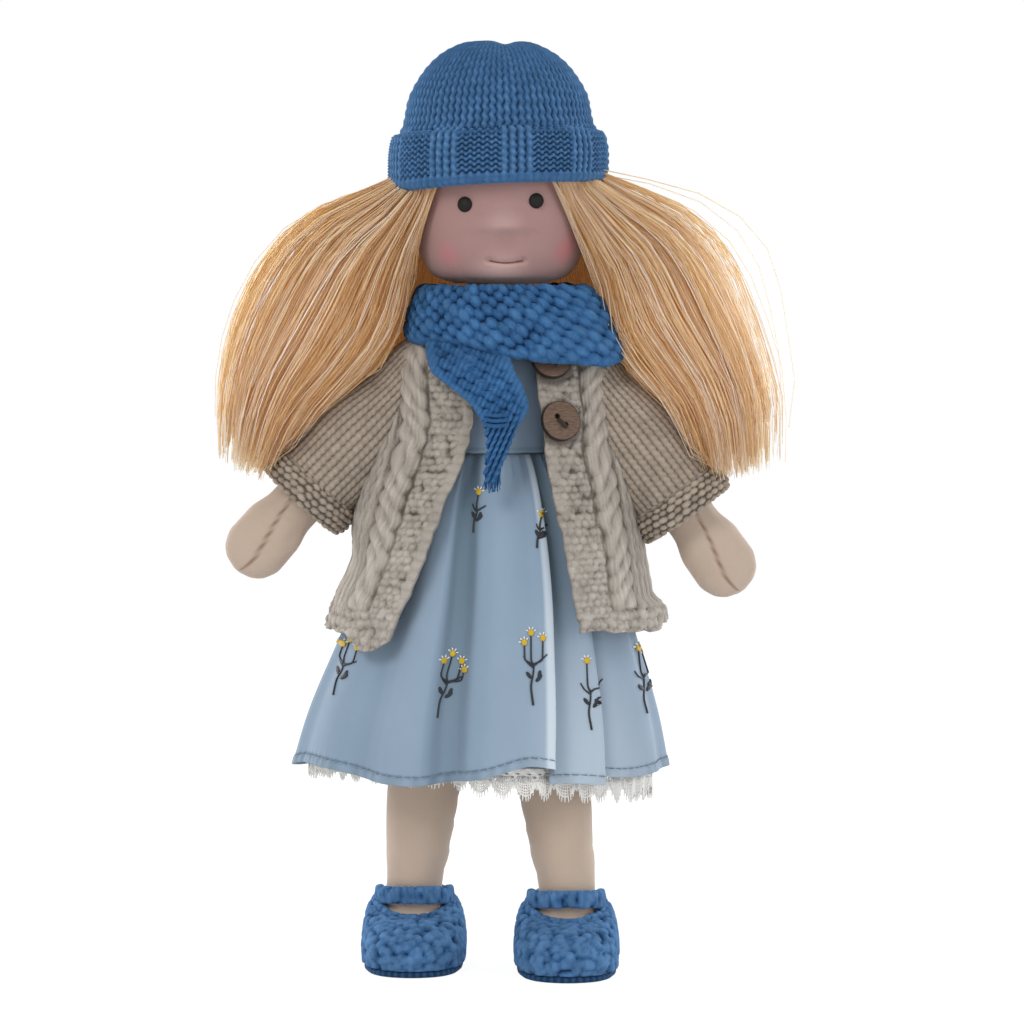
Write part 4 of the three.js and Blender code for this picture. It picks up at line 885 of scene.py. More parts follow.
shoe_middle = -8.0
shoe_columns = 220
shoe_angle = full_turn(shoe_columns)
shoe_edge = shoe_outline(shoe_angle)
rim_x = 16.6 * np.cos(shoe_angle)
rim_y = 1.2 - shoe_middle + 17.6 * np.sin(shoe_angle)
rim_z = 27.2 + 4.4 * np.sin(shoe_angle) - 1.2 * bump(np.sin(shoe_angle), -1, 0.5)
edge_x = shoe_edge * np.cos(shoe_angle)
edge_y = shoe_edge * np.sin(shoe_angle)
climb = np.linspace(0, math.pi / 2, 44)[:, None]
tuck = 1 - 0.07 * smooth_step(0.3, 0.0, climb)
hang = np.cos(climb) ** 0.72 * tuck
lift = np.sin(climb) ** 0.88
floor_z = sole_thickness + 0.3
shoe_outer = np.stack([
    rim_x + (edge_x - rim_x) * hang,
    rim_y + (edge_y - rim_y) * hang + shoe_middle,
    floor_z + (rim_z - floor_z) * lift,
], axis=-1)
shoe_inner = shoe_outer.copy()
shoe_inner[:, :, 0] = rim_x + (edge_x - rim_x) * hang * 0.86 - 1.6 * np.cos(shoe_angle)
shoe_inner[:, :, 1] = rim_y + (edge_y - rim_y) * hang * 0.86 + shoe_middle - 1.6 * np.sin(shoe_angle)
shoe_inner[:, :, 2] -= 1.8 * lift


def two_layer_faces(rows, columns, wrap, keep=None):
    """Faces of cloth with an outer and an inner grid, closed along every open edge of what is kept."""
    cells = np.ones((rows - 1, columns if wrap else columns - 1), dtype=bool)
    if keep is not None:
        cells &= keep
    r, c = np.nonzero(cells)
    a = r * columns + c
    b = r * columns + (c + 1) % columns
    e = b + columns
    d = a + columns
    inside = rows * columns
    faces = [np.stack([a, b, e, d], axis=-1), np.stack([d, e, b, a], axis=-1) + inside]
    padded_cells = np.zeros((rows + 1, cells.shape[1] + 2), dtype=bool)
    padded_cells[1:-1, 1:-1] = cells
    if wrap:
        padded_cells[1:-1, 0] = cells[:, -1]
        padded_cells[1:-1, -1] = cells[:, 0]
    for near, far, dr, dc in ((a, b, -1, 0), (b, e, 0, 1), (e, d, 1, 0), (d, a, 0, -1)):
        open_edge = ~padded_cells[r + 1 + dr, c + 1 + dc]
        p = near[open_edge]
        q = far[open_edge]
        faces.append(np.stack([q, p, p + inside, q + inside], axis=-1))
    return np.concatenate(faces).tolist()


def cloth_piece(name, outer, inner, wrap, values=None, uvs=None, keep=None):
    """A closed sheet of cloth between two grids of points, with values kept on the outer grid."""
    rows, columns = outer.shape[:2]
    points = np.concatenate([outer.reshape(-1, 3), inner.reshape(-1, 3)])
    full = {}
    for key, value in (values or {}).items():
        flat = np.broadcast_to(value, (rows, columns)).reshape(-1)
        full[key] = np.concatenate([flat, flat * 0.5])
    both = None if uvs is None else np.concatenate([uvs.reshape(-1, 2)] * 2)
    made = mesh_object(name, points, two_layer_faces(rows, columns, wrap, keep), full, both)
    if keep is not None:
        shape = bmesh.new()
        shape.from_mesh(made.data)
        loose = [v for v in shape.verts if not v.link_faces]
        bmesh.ops.delete(shape, geom=loose, context="VERTS")
        shape.to_mesh(made.data)
        shape.free()
    return made


def curly(grid_points, normals, size, depth, salt):
    """Raises points into curls; gives the new points, their pile and their tint."""
    flat = grid_points.reshape(-1, 3)
    big, tint = cell_bumps(flat, size, salt)
    small, _ = cell_bumps(flat, size * 0.45, salt + 5)
    pile = np.clip(0.72 * big + 0.38 * small * big + 0.05, 0, 1)
    raised = flat + normals.reshape(-1, 3) * (depth * (pile - 0.45))[:, None]
    shape = grid_points.shape
    return raised.reshape(shape), pile.reshape(shape[:2]), tint.reshape(shape[:2])


for name, leg in legs.items():
    place = np.array([leg["ankle"], -leg["step"], 0.0])
    salt = 11.0 if name == "left" else 3.0
    outer, pile, tint = curly(shoe_outer + place, loft_normals(shoe_outer, True), 3.3, 1.9, salt)
    upper_piece = cloth_piece(
        f"{name}_slipper_upper", outer, shoe_inner + place, True, {"pile": pile, "tint": tint}
    )
    around = full_turn(roll_sides)
    rolls = []
    for t in range(shoe_columns):
        out = np.array([math.cos(shoe_angle[t]), math.sin(shoe_angle[t]), 0.0])
        at = np.array([rim_x[t], rim_y[t] + shoe_middle, rim_z[t]]) + place
        rolls.append(at + 2.0 * (np.cos(around)[:, None] * out + np.sin(around)[:, None] * [0, 0, 1]))
    rolls = np.array(rolls)
    rolls, roll_pile, roll_tint = curly(rolls, out_of_rings(rolls), 2.9, 1.3, salt + 20)
    roll_faces = []
    for t in range(shoe_columns):
        near = t * roll_sides
        far = (t + 1) % shoe_columns * roll_sides
        for k in range(roll_sides):
            m = (k + 1) % roll_sides
            roll_faces.append([near + k, far + k, far + m, near + m])
    roll_piece = mesh_object(
        f"{name}_slipper_roll", rolls.reshape(-1, 3), roll_faces,
        {"pile": roll_pile.ravel(), "tint": roll_tint.ravel()},
    )
    sweep = np.linspace(-math.pi - 0.35, 0.35, 120)
    strap_rings = []
    for t in sweep:
        out = np.array([math.cos(t), math.sin(t), 0.0])
        high = 30.6 + 1.9 * math.sin(-t)
        at = place + np.array([16.1 * math.cos(t), 0.6 + 16.4 * math.sin(t), high])
        square = squared(np.cos(around), 0.6)
        tall = squared(np.sin(around), 0.6)
        strap_rings.append(at + 1.5 * square[:, None] * out + 3.5 * tall[:, None] * [0, 0, 1])
    strap_rings = np.array(strap_rings)
    strap_rings, pile, tint = curly(strap_rings, out_of_rings(strap_rings), 2.9, 1.3, salt + 30)
    strap_piece = stuffed_form(
        f"{name}_slipper_strap", strap_rings[:, ::-1], {"pile": pile[:, ::-1], "tint": tint[:, ::-1]}
    )
    sole_shrink = np.array([0.8, 0.93, 0.965, 0.965, 0.93, 0.8])[:, None]
    sole_level = np.array([0.0, 0.15, 0.9, 2.1, 2.85, 3.0])[:, None]
    sole_rings = points_of(
        place[0] + edge_x[None, :] * sole_shrink,
        place[1] + shoe_middle + edge_y[None, :] * sole_shrink,
        sole_level,
    )
    sole_ridge = 0.25 + 0.2 * np.sin(shoe_angle * 70)[None, :]
    sole_piece = stuffed_form(f"{name}_slipper_sole", sole_rings, {"pile": sole_ridge, "tint": 0.3})
    for piece in (upper_piece, roll_piece, strap_piece):
        dress(piece, boucle, f"{name}_leg", f"{name}_shoe_upper")
    dress(sole_piece, boucle, f"{name}_leg", f"{name}_shoe_sole")


# Petticoat: thin white cotton gathered under the dress, with cotton lace sewn along its hem.
# The lace is a netted band with scallops of loops and a fringe of loose thread ends.
weave, weave_in, weave_out = node_group("plain_weave", {
    "Colour": (0.3, 0.4, 0.55, 1), "Shade": (0.2, 0.3, 0.42, 1), "Thread": 0.75,
})
weave_place = node(weave, "ShaderNodeTexCoord").outputs
weave_warp = bands(weave, weave_place["UV"], weave_in["Thread"], 0.6, 2.0, "X")
weave_weft = bands(weave, weave_place["UV"], weave_in["Thread"], 0.6, 2.0, "Y")
weave_over = maths(weave, "MULTIPLY", weave_warp, weave_weft)
weave_slub = noise(weave, {"Vector": weave_place["Object"], "Scale": 38.0, "Detail": 5.0, "Roughness": 0.6})
weave_amount = maths(weave, "MULTIPLY_ADD", weave_over, -0.35, weave_slub)
weave_mix = colour_mix(weave, weave_amount, weave_in["Colour"], weave_in["Shade"])
weave.links.new(weave_mix, weave_out["Colour"])
weave.links.new(weave_over, weave_out["Height"])


def cotton_material(name, colour, shade, stitch, painted_light=(0.9, 0.9, 0.9)):
    """Plain woven cotton, shaded towards the stitch colour where the mesh keeps a stitch value, which on the
    skirt also holds painted shade in its folds, and towards a painted light colour where it keeps a pale
    value.
    """
    made, tree, shader = new_material(name, 0.85, 0.2)
    cloth = node(
        tree, "ShaderNodeGroup", {"Colour": (*colour, 1), "Shade": (*shade, 1)}, node_tree=weave
    )
    tone = colour_mix(tree, kept(tree, "stitch"), cloth.outputs["Colour"], (*stitch, 1))
    painted_light_tone = colour_mix(tree, kept(tree, "pale"), tone, (*painted_light, 1))
    tree.links.new(painted_light_tone, shader.inputs["Base Color"])
    add_relief(tree, shader, cloth.outputs["Height"], 0.00008, 0.5)
    return made


white_cotton = cotton_material("white_cotton", (0.93, 0.925, 0.90), (0.84, 0.83, 0.80), (0.6, 0.59, 0.56))
# For the dress the stitch colour is also the painted shade in the skirt's folds, and the last colour is the
# painted light on its pleat edge and lit panel.
dress_cotton = cotton_material(
    "dress_cotton", (0.265, 0.358, 0.47), (0.222, 0.305, 0.41), (0.115, 0.175, 0.225), (0.60, 0.68, 0.76)
)

hem_height = 90
hem_lean = -8.2
hem_half_width = 81.6
hem_half_depth = 53.5
skirt_shares = [
    (0, 0, 0),
    (0.1, 0.17, 0.17),
    (0.25, 0.36, 0.36),
    (0.45, 0.56, 0.55),
    (0.57, 0.66, 0.65),
    (0.84, 0.9, 0.89),
    (1, 1, 1),
]


def down_skirt(height):
    return np.clip((waist_height - height) / (waist_height - hem_height), 0, 1.04)


def skirt_at(height):
    """Centre, half-width, half-depth and fold depth of the skirt at a height."""
    share = down_skirt(height)
    waist_x, waist_wide, waist_deep = torso_at(waist_height)
    belly = 1.4 * bump(share, 0.45, 0.3)
    return (
        mix(waist_x, hem_lean, share) + belly,
        mix(waist_wide + 3, hem_half_width, read_table(skirt_shares, share, 1)) - belly,
        mix(waist_deep + 3, hem_half_depth, read_table(skirt_shares, share, 2)),
        5.2 * share**0.6,
    )


def round_folds(angle, share):
    return 0.6 * np.cos(11 * angle + 0.6 + 0.5 * share) + 0.4 * np.cos(7 * angle + 2.1 - 0.4 * share)


fold_hem = [-1, -0.84, -0.5, -0.19, 0.10, 0.385, 0.43, 0.66, 0.70, 1]
fold_waist = [-1, -0.86, -0.5, -0.30, 0.12, 0.50, 0.54, 0.76, 0.79, 1]
fold_heights = [
    (-1, 0), (-0.84, 0.45), (-0.66, -0.2), (-0.48, 0.75), (-0.32, 0.45), (-0.22, -1.55), (-0.15, -1.6),
    (-0.06, -0.2), (0.08, 0.55), (0.25, 0.45), (0.36, 1.2), (0.382, 1.1), (0.396, -0.7), (0.46, -0.7),
    (0.57, -0.1), (0.65, 0.6), (0.664, 0.45), (0.68, -0.6), (0.8, 0), (0.93, 0.55), (1, 0),
]


def front_folds(across, share):
    """Folds over the front: a deep valley, a sharp pleat edge and a smaller one beside it."""
    across, share = np.broadcast_arrays(across, share)
    place = np.zeros(across.shape)
    for k in range(len(fold_hem) - 1):
        low = mix(fold_waist[k], fold_hem[k], share)
        high = mix(fold_waist[k + 1], fold_hem[k + 1], share)
        within = (across >= low) & (across <= high)
        along = np.clip((across - low) / (high - low), 0, 1)
        place = np.where(within, mix(fold_hem[k], fold_hem[k + 1], along), place)
    return read_table(fold_heights, place, 1)


def skirt_surface(angle, height, grow=0.0, folds=1.0):
    """Points of the skirt's cloth, its folds front and back, let out by grow."""
    x, half_width, half_depth, fold = skirt_at(height)
    share = down_skirt(height)
    front = smooth_step(0.05, 0.35, -np.sin(angle))
    wave = mix(round_folds(angle, share), front_folds(np.cos(angle), share), front)
    gather = 0.45 * np.sin(angle * 46 + 2 * np.sin(angle * 9)) * smooth_step(0.16, 0.0, share)
    out = grow + folds * fold * wave + gather
    return points_of(x + (half_width + out) * np.cos(angle), (half_depth + out) * np.sin(angle), height)


petticoat_top = 226
petticoat_hem = 89
petticoat_room = 7.8


def petticoat_surface(angle, height, grow):
    torso_x, torso_wide, torso_deep = torso_at(np.maximum(height, torso_bottom))
    x, half_width, half_depth, fold = skirt_at(height)
    share = np.clip((petticoat_top - height) / (petticoat_top - petticoat_hem), 0, 1)
    ramp = np.minimum(share / 0.35, 1) ** 0.8
    wide = mix(torso_wide + 1.3, half_width - petticoat_room, ramp)
    deep = mix(torso_deep + 1.3, half_depth - petticoat_room, ramp)
    ripple = 0.5 * np.sin(angle * 31 + 3 * np.sin(angle * 4)) * share
    front = smooth_step(0.05, 0.35, -np.sin(angle))
    shape = mix(0.6 * round_folds(angle, share), np.minimum(front_folds(np.cos(angle), share), 0), front)
    wave = fold * ramp * shape + ripple + grow
    return points_of(x + (wide + wave) * np.cos(angle), (deep + wave) * np.sin(angle), height)


petticoat_angle = full_turn(300)
petticoat_rows = np.linspace(petticoat_hem, petticoat_top, 50)
petticoat_outer = petticoat_surface(petticoat_angle[None, :], petticoat_rows[:, None], 0)
petticoat_inner = petticoat_surface(petticoat_angle[None, :], petticoat_rows[:, None], -0.8)
petticoat_uv = np.stack(np.meshgrid(petticoat_angle * 60, petticoat_rows), axis=-1)
petticoat_piece = cloth_piece(
    "petticoat_cloth", petticoat_outer, petticoat_inner, True, {"stitch": 0.0}, petticoat_uv
)
petticoat_piece.data.materials.append(white_cotton)


lace_line = 92.5


def lace_point(angle, drop, out=0.0):
    """A point of the lace, drop below the petticoat's hem; it hangs lower on the doll's left."""
    base = petticoat_surface(angle, np.full(np.shape(angle), lace_line), 1.6 + out)
    sway = 0.5 * np.sin(angle * 37) * drop / 10
    tilt = 4.0 * (base[..., 0] + 7) / 85
    raised = 2.6 * smooth_step(0.1, -0.35, np.cos(angle)) * smooth_step(0.1, 0.4, -np.sin(angle))
    base[..., 2] -= drop * (1 + 0.25 * np.clip(tilt / 4, -1, 1)) + np.maximum(tilt, -0.5) - raised
    return base + points_of(sway * np.cos(angle), sway * np.sin(angle), 0.0)


scallops = 46
lace_start = 3.2
lace_reach = 6.4
lace_parts = []
for k in range(scallops):
    start = 2 * math.pi * k / scallops
    width = 2 * math.pi / scallops
    for reach, radius in ((4.6, 0.4), (5.9, 0.36), (7.2, 0.4), (8.4, 0.36), (9.6, 0.46)):
        t = np.linspace(0, 1, 11)
        path = lace_point(start + width * t, lace_start + (reach - lace_start) * np.sin(math.pi * t) ** 0.7)
        lace_parts.append(swept_tube(path, radius, 4))
    for spoke in np.linspace(0.08, 0.92, 9):
        t = np.linspace(0, 1, 3)
        deep = lace_start + lace_reach * math.sin(math.pi * spoke) ** 0.7
        angle = start + width * (0.5 + (spoke - 0.5) * mix(0.75, 1.0, t))
        lace_parts.append(swept_tube(lace_point(angle, mix(1.5, deep, t), 0.15), 0.3, 4))
    for tooth in np.linspace(0.04, 0.96, 9):
        t = np.linspace(0, 1, 3)
        deep = lace_start + lace_reach * math.sin(math.pi * tooth) ** 0.7
        angle = start + width * (tooth + 0.03 * math.sin(k * 7 + tooth * 40) * t)
        lace_parts.append(swept_tube(lace_point(angle, deep + 2.4 * t), 0.33 * (1 - 0.4 * t), 4))
lace_loops = mesh_object("petticoat_lace_loops", *join_parts(lace_parts))
lace_angle = full_turn(552)
lace_rows = np.linspace(5.2, -2.0, 14)
lace_grid, lace_drop = np.meshgrid(lace_angle, lace_rows)
lace_eyelet = np.sin(lace_grid * scallops * 2) * np.sin(lace_drop * 2.2)
lace_outer = lace_point(lace_grid, lace_drop, 0.25 * lace_eyelet)
lace_inner = lace_point(lace_grid, lace_drop, -0.7)
lace_keep = ((lace_eyelet[:-1] < 0.42) | (lace_drop[:-1] > 4.6) | (lace_drop[:-1] < 0.4))
lace_band = cloth_piece(
    "petticoat_lace_band", lace_outer, lace_inner, True, {"stitch": 0.0},
    np.stack([lace_grid * 60, lace_drop], axis=-1), lace_keep,
)
for piece in (lace_loops, lace_band):
    piece.data.materials.append(white_cotton)
    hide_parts("petticoat_lace")
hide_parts("petticoat")
for piece in (petticoat_piece, lace_loops, lace_band):
    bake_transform(piece)


# Dress: pale blue cotton, a fitted bodice with armholes and a skirt gathered on at the waist.
# The hem is turned up and topstitched in darker thread, and small flower sprigs are embroidered.
skirt_angle = np.concatenate([
    np.linspace(0, math.pi, 130, endpoint=False),
    math.pi + np.linspace(0, 1.85, 150, endpoint=False),
    math.pi + np.linspace(1.85, 2.45, 130, endpoint=False),
    np.linspace(math.pi + 2.45, 2 * math.pi, 34, endpoint=False),
])
skirt_down = np.concatenate([np.linspace(0, 0.955, 66), np.linspace(0.96, 1.0, 14)])[::-1]
hem_across = np.cos(skirt_angle)
hem_dip = 5.0 * bump(hem_across, 0.28, 0.2) * smooth_step(0.40, 0.38, hem_across)
hem_dip = hem_dip - 3.6 * smooth_step(0.385, 0.405, hem_across) * smooth_step(0.69, 0.66, hem_across)
hem_dip = hem_dip - 3.2 * bump(hem_across, -0.36, 0.28)
hem_dip = hem_dip + 3.0 * smooth_step(-0.6, -0.95, hem_across) - 1.8 * bump(hem_across, 0.8, 0.14)
hem_dip = hem_dip * smooth_step(0.0, 0.3, -np.sin(skirt_angle)) + 0.4 * np.sin(skirt_angle * 5 + 1)
skirt_height = waist_height - skirt_down[:, None] * (waist_height - hem_height - hem_dip[None, :])
skirt_grid = np.broadcast_to(skirt_angle[None, :], skirt_height.shape)
from_hem = skirt_height - skirt_height[:1]
hem_rows = np.maximum(bump(from_hem, 4.3, 0.34), bump(from_hem, 3.1, 0.34))
hem_line = hem_rows * (0.6 + 0.4 * np.sign(np.sin(skirt_grid * 170 + 1.5 * from_hem)))
hem_pucker = np.sin(skirt_grid * 95) * bump(from_hem, 3.0, 2.5)
hem_swell = 0.45 * smooth_step(4.2, 3.4, from_hem) + 0.25 * hem_pucker
waist_fold = 0.5 * smooth_step(228.5, 230.3, skirt_height)
hem_groove = 0.35 * bump(from_hem, 3.9, 0.4)
skirt_outer = skirt_surface(skirt_grid, skirt_height, hem_swell - hem_groove - waist_fold)
skirt_inner = skirt_surface(skirt_grid, skirt_height, -0.9 - waist_fold)
# Painted shade: the front fold valleys are darkened, most in the upper skirt and less on the lower pleat;
# this shade goes into the stitch value with the hem's thread rows.
fold_share = (waist_height - skirt_height) / (waist_height - hem_height)
fold_shape = front_folds(np.cos(skirt_grid), np.clip(fold_share, 0, 1))
in_front = smooth_step(0.0, 0.2, -np.sin(skirt_grid))
fold_shade_strength = mix(0.95, 0.4, smooth_step(0.25, 1.0, fold_share))
fold_shade = smooth_step(0.1, -0.9, fold_shape) * in_front * fold_shade_strength
lower_pleat = smooth_step(0.3, 0.45, np.cos(skirt_grid)) * smooth_step(0.4, 0.9, fold_share)
fold_shade = fold_shade * (1 - 0.75 * lower_pleat)
hem_patches = 0.14 + 0.18 * np.sin(skirt_grid * 61 + 2 * np.sin(skirt_grid * 17))
skirt_stitch_and_shade = np.clip(
    0.4 * hem_line + hem_patches * smooth_step(4.6, 4.0, from_hem) + 0.85 * fold_shade, 0, 1
)
# Painted light: a bright rim along the pleat's edge, a lit panel beside it and a faint light on the ridges,
# kept as the pale value.
pleat_rim = smooth_step(1.0, 1.18, fold_shape) * smooth_step(0.3, 0.36, np.cos(skirt_grid)) * in_front
lit_panel = bump(np.cos(skirt_grid), 0.6, 0.3) * smooth_step(0.35, 0.95, fold_share) * in_front
ridge_light = smooth_step(0.2, 0.7, fold_shape) * smooth_step(0.3, 0.1, np.cos(skirt_grid)) * in_front
skirt_painted_light = np.clip(0.7 * pleat_rim + 0.5 * lit_panel + 0.06 * ridge_light, 0, 1)
skirt_piece = cloth_piece(
    "skirt_cloth", skirt_outer, skirt_inner, True, {"stitch": skirt_stitch_and_shade, "pale": skirt_painted_light},
    np.stack([skirt_grid * 70, skirt_height], axis=-1),
)
skirt_piece.data.materials.append(dress_cotton)
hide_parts("skirt")

bodice_angle = full_turn(200)
bodice_rows = np.linspace(230.9, 277, 60)
bodice_x, bodice_wide, bodice_deep = torso_at(bodice_rows)
bodice_pull = 0.35 * np.sin(bodice_angle * 14 + 1.3)[None, :]
bodice_pull = bodice_pull * smooth_step(244, 231, bodice_rows)[:, None]
bodice_pull = bodice_pull + 0.5 * bump(bodice_rows, 231.8, 0.8)[:, None]
bodice_outer = oval_rings(
    bodice_x, bodice_wide[:, None] + 1.6 + bodice_pull, bodice_deep[:, None] + 1.6 + bodice_pull,
    bodice_rows, bodice_angle,
)
bodice_inner = oval_rings(
    bodice_x, bodice_wide[:, None] + 0.5, bodice_deep[:, None] + 0.5, bodice_rows, bodice_angle
)
bodice_keep = np.ones(bodice_outer[:-1].shape[:2], dtype=bool)
for arm in arms.values():
    away = bodice_outer[:-1] - np.array([arm["sign"] * arm["shoulder"], 0, shoulder_height])
    bodice_keep &= np.linalg.norm(away, axis=2) > 17.0
bodice_piece = cloth_piece(
    "bodice_cloth", bodice_outer, bodice_inner, True,
    {"stitch": 0.7 * bump(bodice_rows, 232.9, 0.35)[:, None]},
    np.stack(np.meshgrid(bodice_angle * 33, bodice_rows), axis=-1), bodice_keep,
)
dress(bodice_piece, dress_cotton, "torso", "dress_bodice")


def on_skirt(x, height, out, back):
    """The point of the skirt at x and a height, on its front or its back, lifted off by out."""
    sweep = np.linspace(0.02, math.pi - 0.02, 240) * (1 if back else -1)
    places = []
    for one_x, one_z in zip(np.atleast_1d(x), np.atleast_1d(height)):
        line = skirt_surface(sweep, np.full(sweep.shape, float(one_z)))
        order = np.argsort(line[:, 0])
        angle = np.interp(one_x, line[order, 0], sweep[order])
        places.append(skirt_surface(np.array([angle]), np.array([float(one_z)]), out)[0])
    return np.array(places)


def satin_lump(x, height, long, wide, turn, back, out):
    """A small raised oval of satin stitch, turned on the cloth."""
    rows = 4
    sides = 9
    around = full_turn(sides)
    rings = []
    for t in np.linspace(0, math.pi, rows + 2)[1:-1]:
        u = long * math.sin(t) * np.cos(around)
        v = wide * math.sin(t) * np.sin(around)
        ring_x = x + u * math.cos(turn) - v * math.sin(turn)
        ring_z = height + u * math.sin(turn) + v * math.cos(turn)
        rings.append(on_skirt(ring_x, ring_z, out + 0.45 * math.cos(t), back))
    rings = np.array(rings)
    points = np.concatenate([rings.reshape(-1, 3), rings[:1].mean(axis=1), rings[-1:].mean(axis=1)])
    faces = grid_faces(rows, sides, True, flip=True)
    low_end = rows * sides
    for i in range(sides):
        j = (i + 1) % sides
        faces.append([low_end, i, j])
        faces.append([low_end + 1, low_end - sides + j, low_end - sides + i])
    if back:
        faces = [face[::-1] for face in faces]
    return points, faces


sprigs = [
    (-7.7, 214.8, -10.7, 196.5, 1, False),
    (19.8, 205.2, 17.2, 189.9, 1, False),
    (-64.5, 148.5, -73.0, 123.6, 3, False),
    (-18.6, 144.1, -26.4, 115.8, 4, False),
    (15.5, 154.2, 15.5, 121.9, 3, False),
    (39.9, 141.1, 41.2, 110.1, 1, False),
    (63.5, 144.1, 66.5, 114.9, 2, False),
    (-44.0, 176.0, -48.0, 148.0, 3, False),
    (46.0, 180.0, 47.0, 154.0, 2, False),
    (-66.0, 146.0, -70.0, 116.0, 3, True),
    (-28.0, 150.0, -30.0, 120.0, 4, True),
    (12.0, 144.0, 12.0, 114.0, 3, True),
    (50.0, 150.0, 53.0, 120.0, 4, True),
    (-8.0, 196.0, -10.0, 170.0, 3, True),
    (28.0, 190.0, 30.0, 164.0, 2, True),
    (-42.0, 186.0, -46.0, 160.0, 2, True),
]
leaves = [(0.36, -0.075, -0.7, 2.2), (0.41, -0.085, -0.15, 2.0), (0.40, 0.06, 0.6, 1.9)]
stem_parts = []
petal_parts = []
centre_parts = []
for top_x, top_z, foot_x, foot_z, heads, back in sprigs:
    tall = math.hypot(top_x - foot_x, top_z - foot_z)
    lean = math.atan2(top_z - foot_z, top_x - foot_x)

    def sprig_point(up, side):
        """Turns a place along and across the sprig into x and height."""
        return (
            foot_x + tall * (up * math.cos(lean) - side * math.sin(lean)),
            foot_z + tall * (up * math.sin(lean) + side * math.cos(lean)),
        )

    def sprig_thread(route, radius):
        t = np.linspace(0, len(route) - 1, 12)
        table = [(i, *sprig_point(*place)) for i, place in enumerate(route)]
        line = on_skirt(read_table(table, t, 1), read_table(table, t, 2), 0.35, back)
        stem_parts.append(swept_tube(line, radius * np.linspace(1.1, 0.75, 12), 5))

    sprig_thread([(0, 0), (0.25, 0.03), (0.42, 0.0), (0.56, -0.01)], 0.5)
    for up, side, turn, long in leaves:
        leaf_x, leaf_z = sprig_point(up, side)
        stem_parts.append(satin_lump(leaf_x, leaf_z, long, 0.85, lean + turn, back, 0.35))
    tips = [(0.97, 0.03), (0.90, -0.13), (0.84, 0.12), (0.79, -0.2)][:heads]
    for i, (up, side) in enumerate(tips):
        sprig_thread([(0.54, 0.0), (0.62, side * 0.95), (up - 0.04, side)], 0.46)
        head_at_x, head_at_z = sprig_point(up, side)
        for k in range(4):
            turn = lean + 2.2 * (k / 3 - 0.5) + 0.2 * i
            petal_parts.append(satin_lump(
                head_at_x + 1.95 * math.cos(turn), head_at_z + 1.95 * math.sin(turn),
                0.75, 0.36, turn, back, 0.25,
            ))
        centre_parts.append(satin_lump(head_at_x, head_at_z, 1.55, 1.35, lean, back, 0.5))
    sprig_thread([(0.52, 0.0), (0.6, -0.1), (0.68, -0.19)], 0.42)
    sprig_thread([(0.5, 0.0), (0.57, 0.08), (0.66, 0.13)], 0.42)


def thread_material(name, colour, shade):
    made, tree, shader = new_material(name, 0.6, 0.1)
    grain = noise(tree, {"Scale": 1500.0, "Detail": 2.0})
    tone = colour_mix(tree, grain, (*colour, 1), (*shade, 1))
    tree.links.new(tone, shader.inputs["Base Color"])
    add_relief(tree, shader, grain, 0.0001, 0.6)
    return made


sprig_pieces = []
for name, parts, material in (
    ("sprig_stems", stem_parts, thread_material("stem_thread", (0.012, 0.016, 0.022), (0.05, 0.055, 0.065))),
    ("sprig_petals", petal_parts, thread_material("petal_thread", (0.85, 0.86, 0.86), (0.65, 0.68, 0.72))),
    ("sprig_centres", centre_parts, thread_material("centre_thread", (0.72, 0.50, 0.03), (0.50, 0.32, 0.02))),
):
    piece = mesh_object(name, *join_parts(parts))
    piece.data.materials.append(material)
    sprig_pieces.append(piece)

hem_stitch_count = 140
hem_parts = []
for k in range(hem_stitch_count):
    angle = 2 * math.pi * (k + np.array([0.12, 0.3, 0.5, 0.7, 0.88])) / hem_stitch_count
    line_z = np.interp(angle, skirt_angle, skirt_height[0], period=2 * math.pi) + 3.9
    line = skirt_surface(angle, line_z, 0.15 + 0.18 * np.array([-1, 0.7, 1, 0.7, -1]))
    hem_parts.append(swept_tube(line, 0.2, 4))
hem_stitches = mesh_object("hem_stitches", *join_parts(hem_parts))
hem_stitches.data.materials.append(thread_material("hem_thread", (0.13, 0.20, 0.28), (0.20, 0.28, 0.37)))
for piece in (skirt_piece, hem_stitches, *sprig_pieces):
    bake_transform(piece)


# Cardigan: oat wool knitted by hand in three parts, the two fronts with a bumpy garter band and a
# thick twisted rope of stitches beside it, and a chunky hem. Its sleeves are plain rib with cuffs.
def purl_bumps(u, v, salt=0.0, wide=0.5, tall=0.44):
    """Rows of knitted bumps, one stitch to a unit, each row moved half a stitch; height and share."""
    height = np.zeros(np.broadcast(u, v).shape)
    tint = np.zeros(height.shape)
    for step in (-1, 0, 1):
        row = np.floor(v) + step
        moved = u + 0.5 * (row % 2) + 0.16 * scatter(row, 3, salt)
        for side in (-0.5, 0.5):
            column = np.floor(moved + side)
            size = 0.84 + 0.32 * scatter(column, row, salt)
            off_x = 0.16 * (scatter(column, row, salt + 1) - 0.5)
            off_y = 0.22 * (scatter(column, row, salt + 2) - 0.5)
            x = (moved - column - off_x) / (wide * size)
            y = (v - row - 0.5 - off_y) / (tall * size)
            lump = np.sqrt(np.clip(1 - x * x - y * y, 0, 1)) * size
            higher = lump > height
            height = np.where(higher, lump, height)
            tint = np.where(higher, scatter(column, row, salt + 4), tint)
    return height, tint


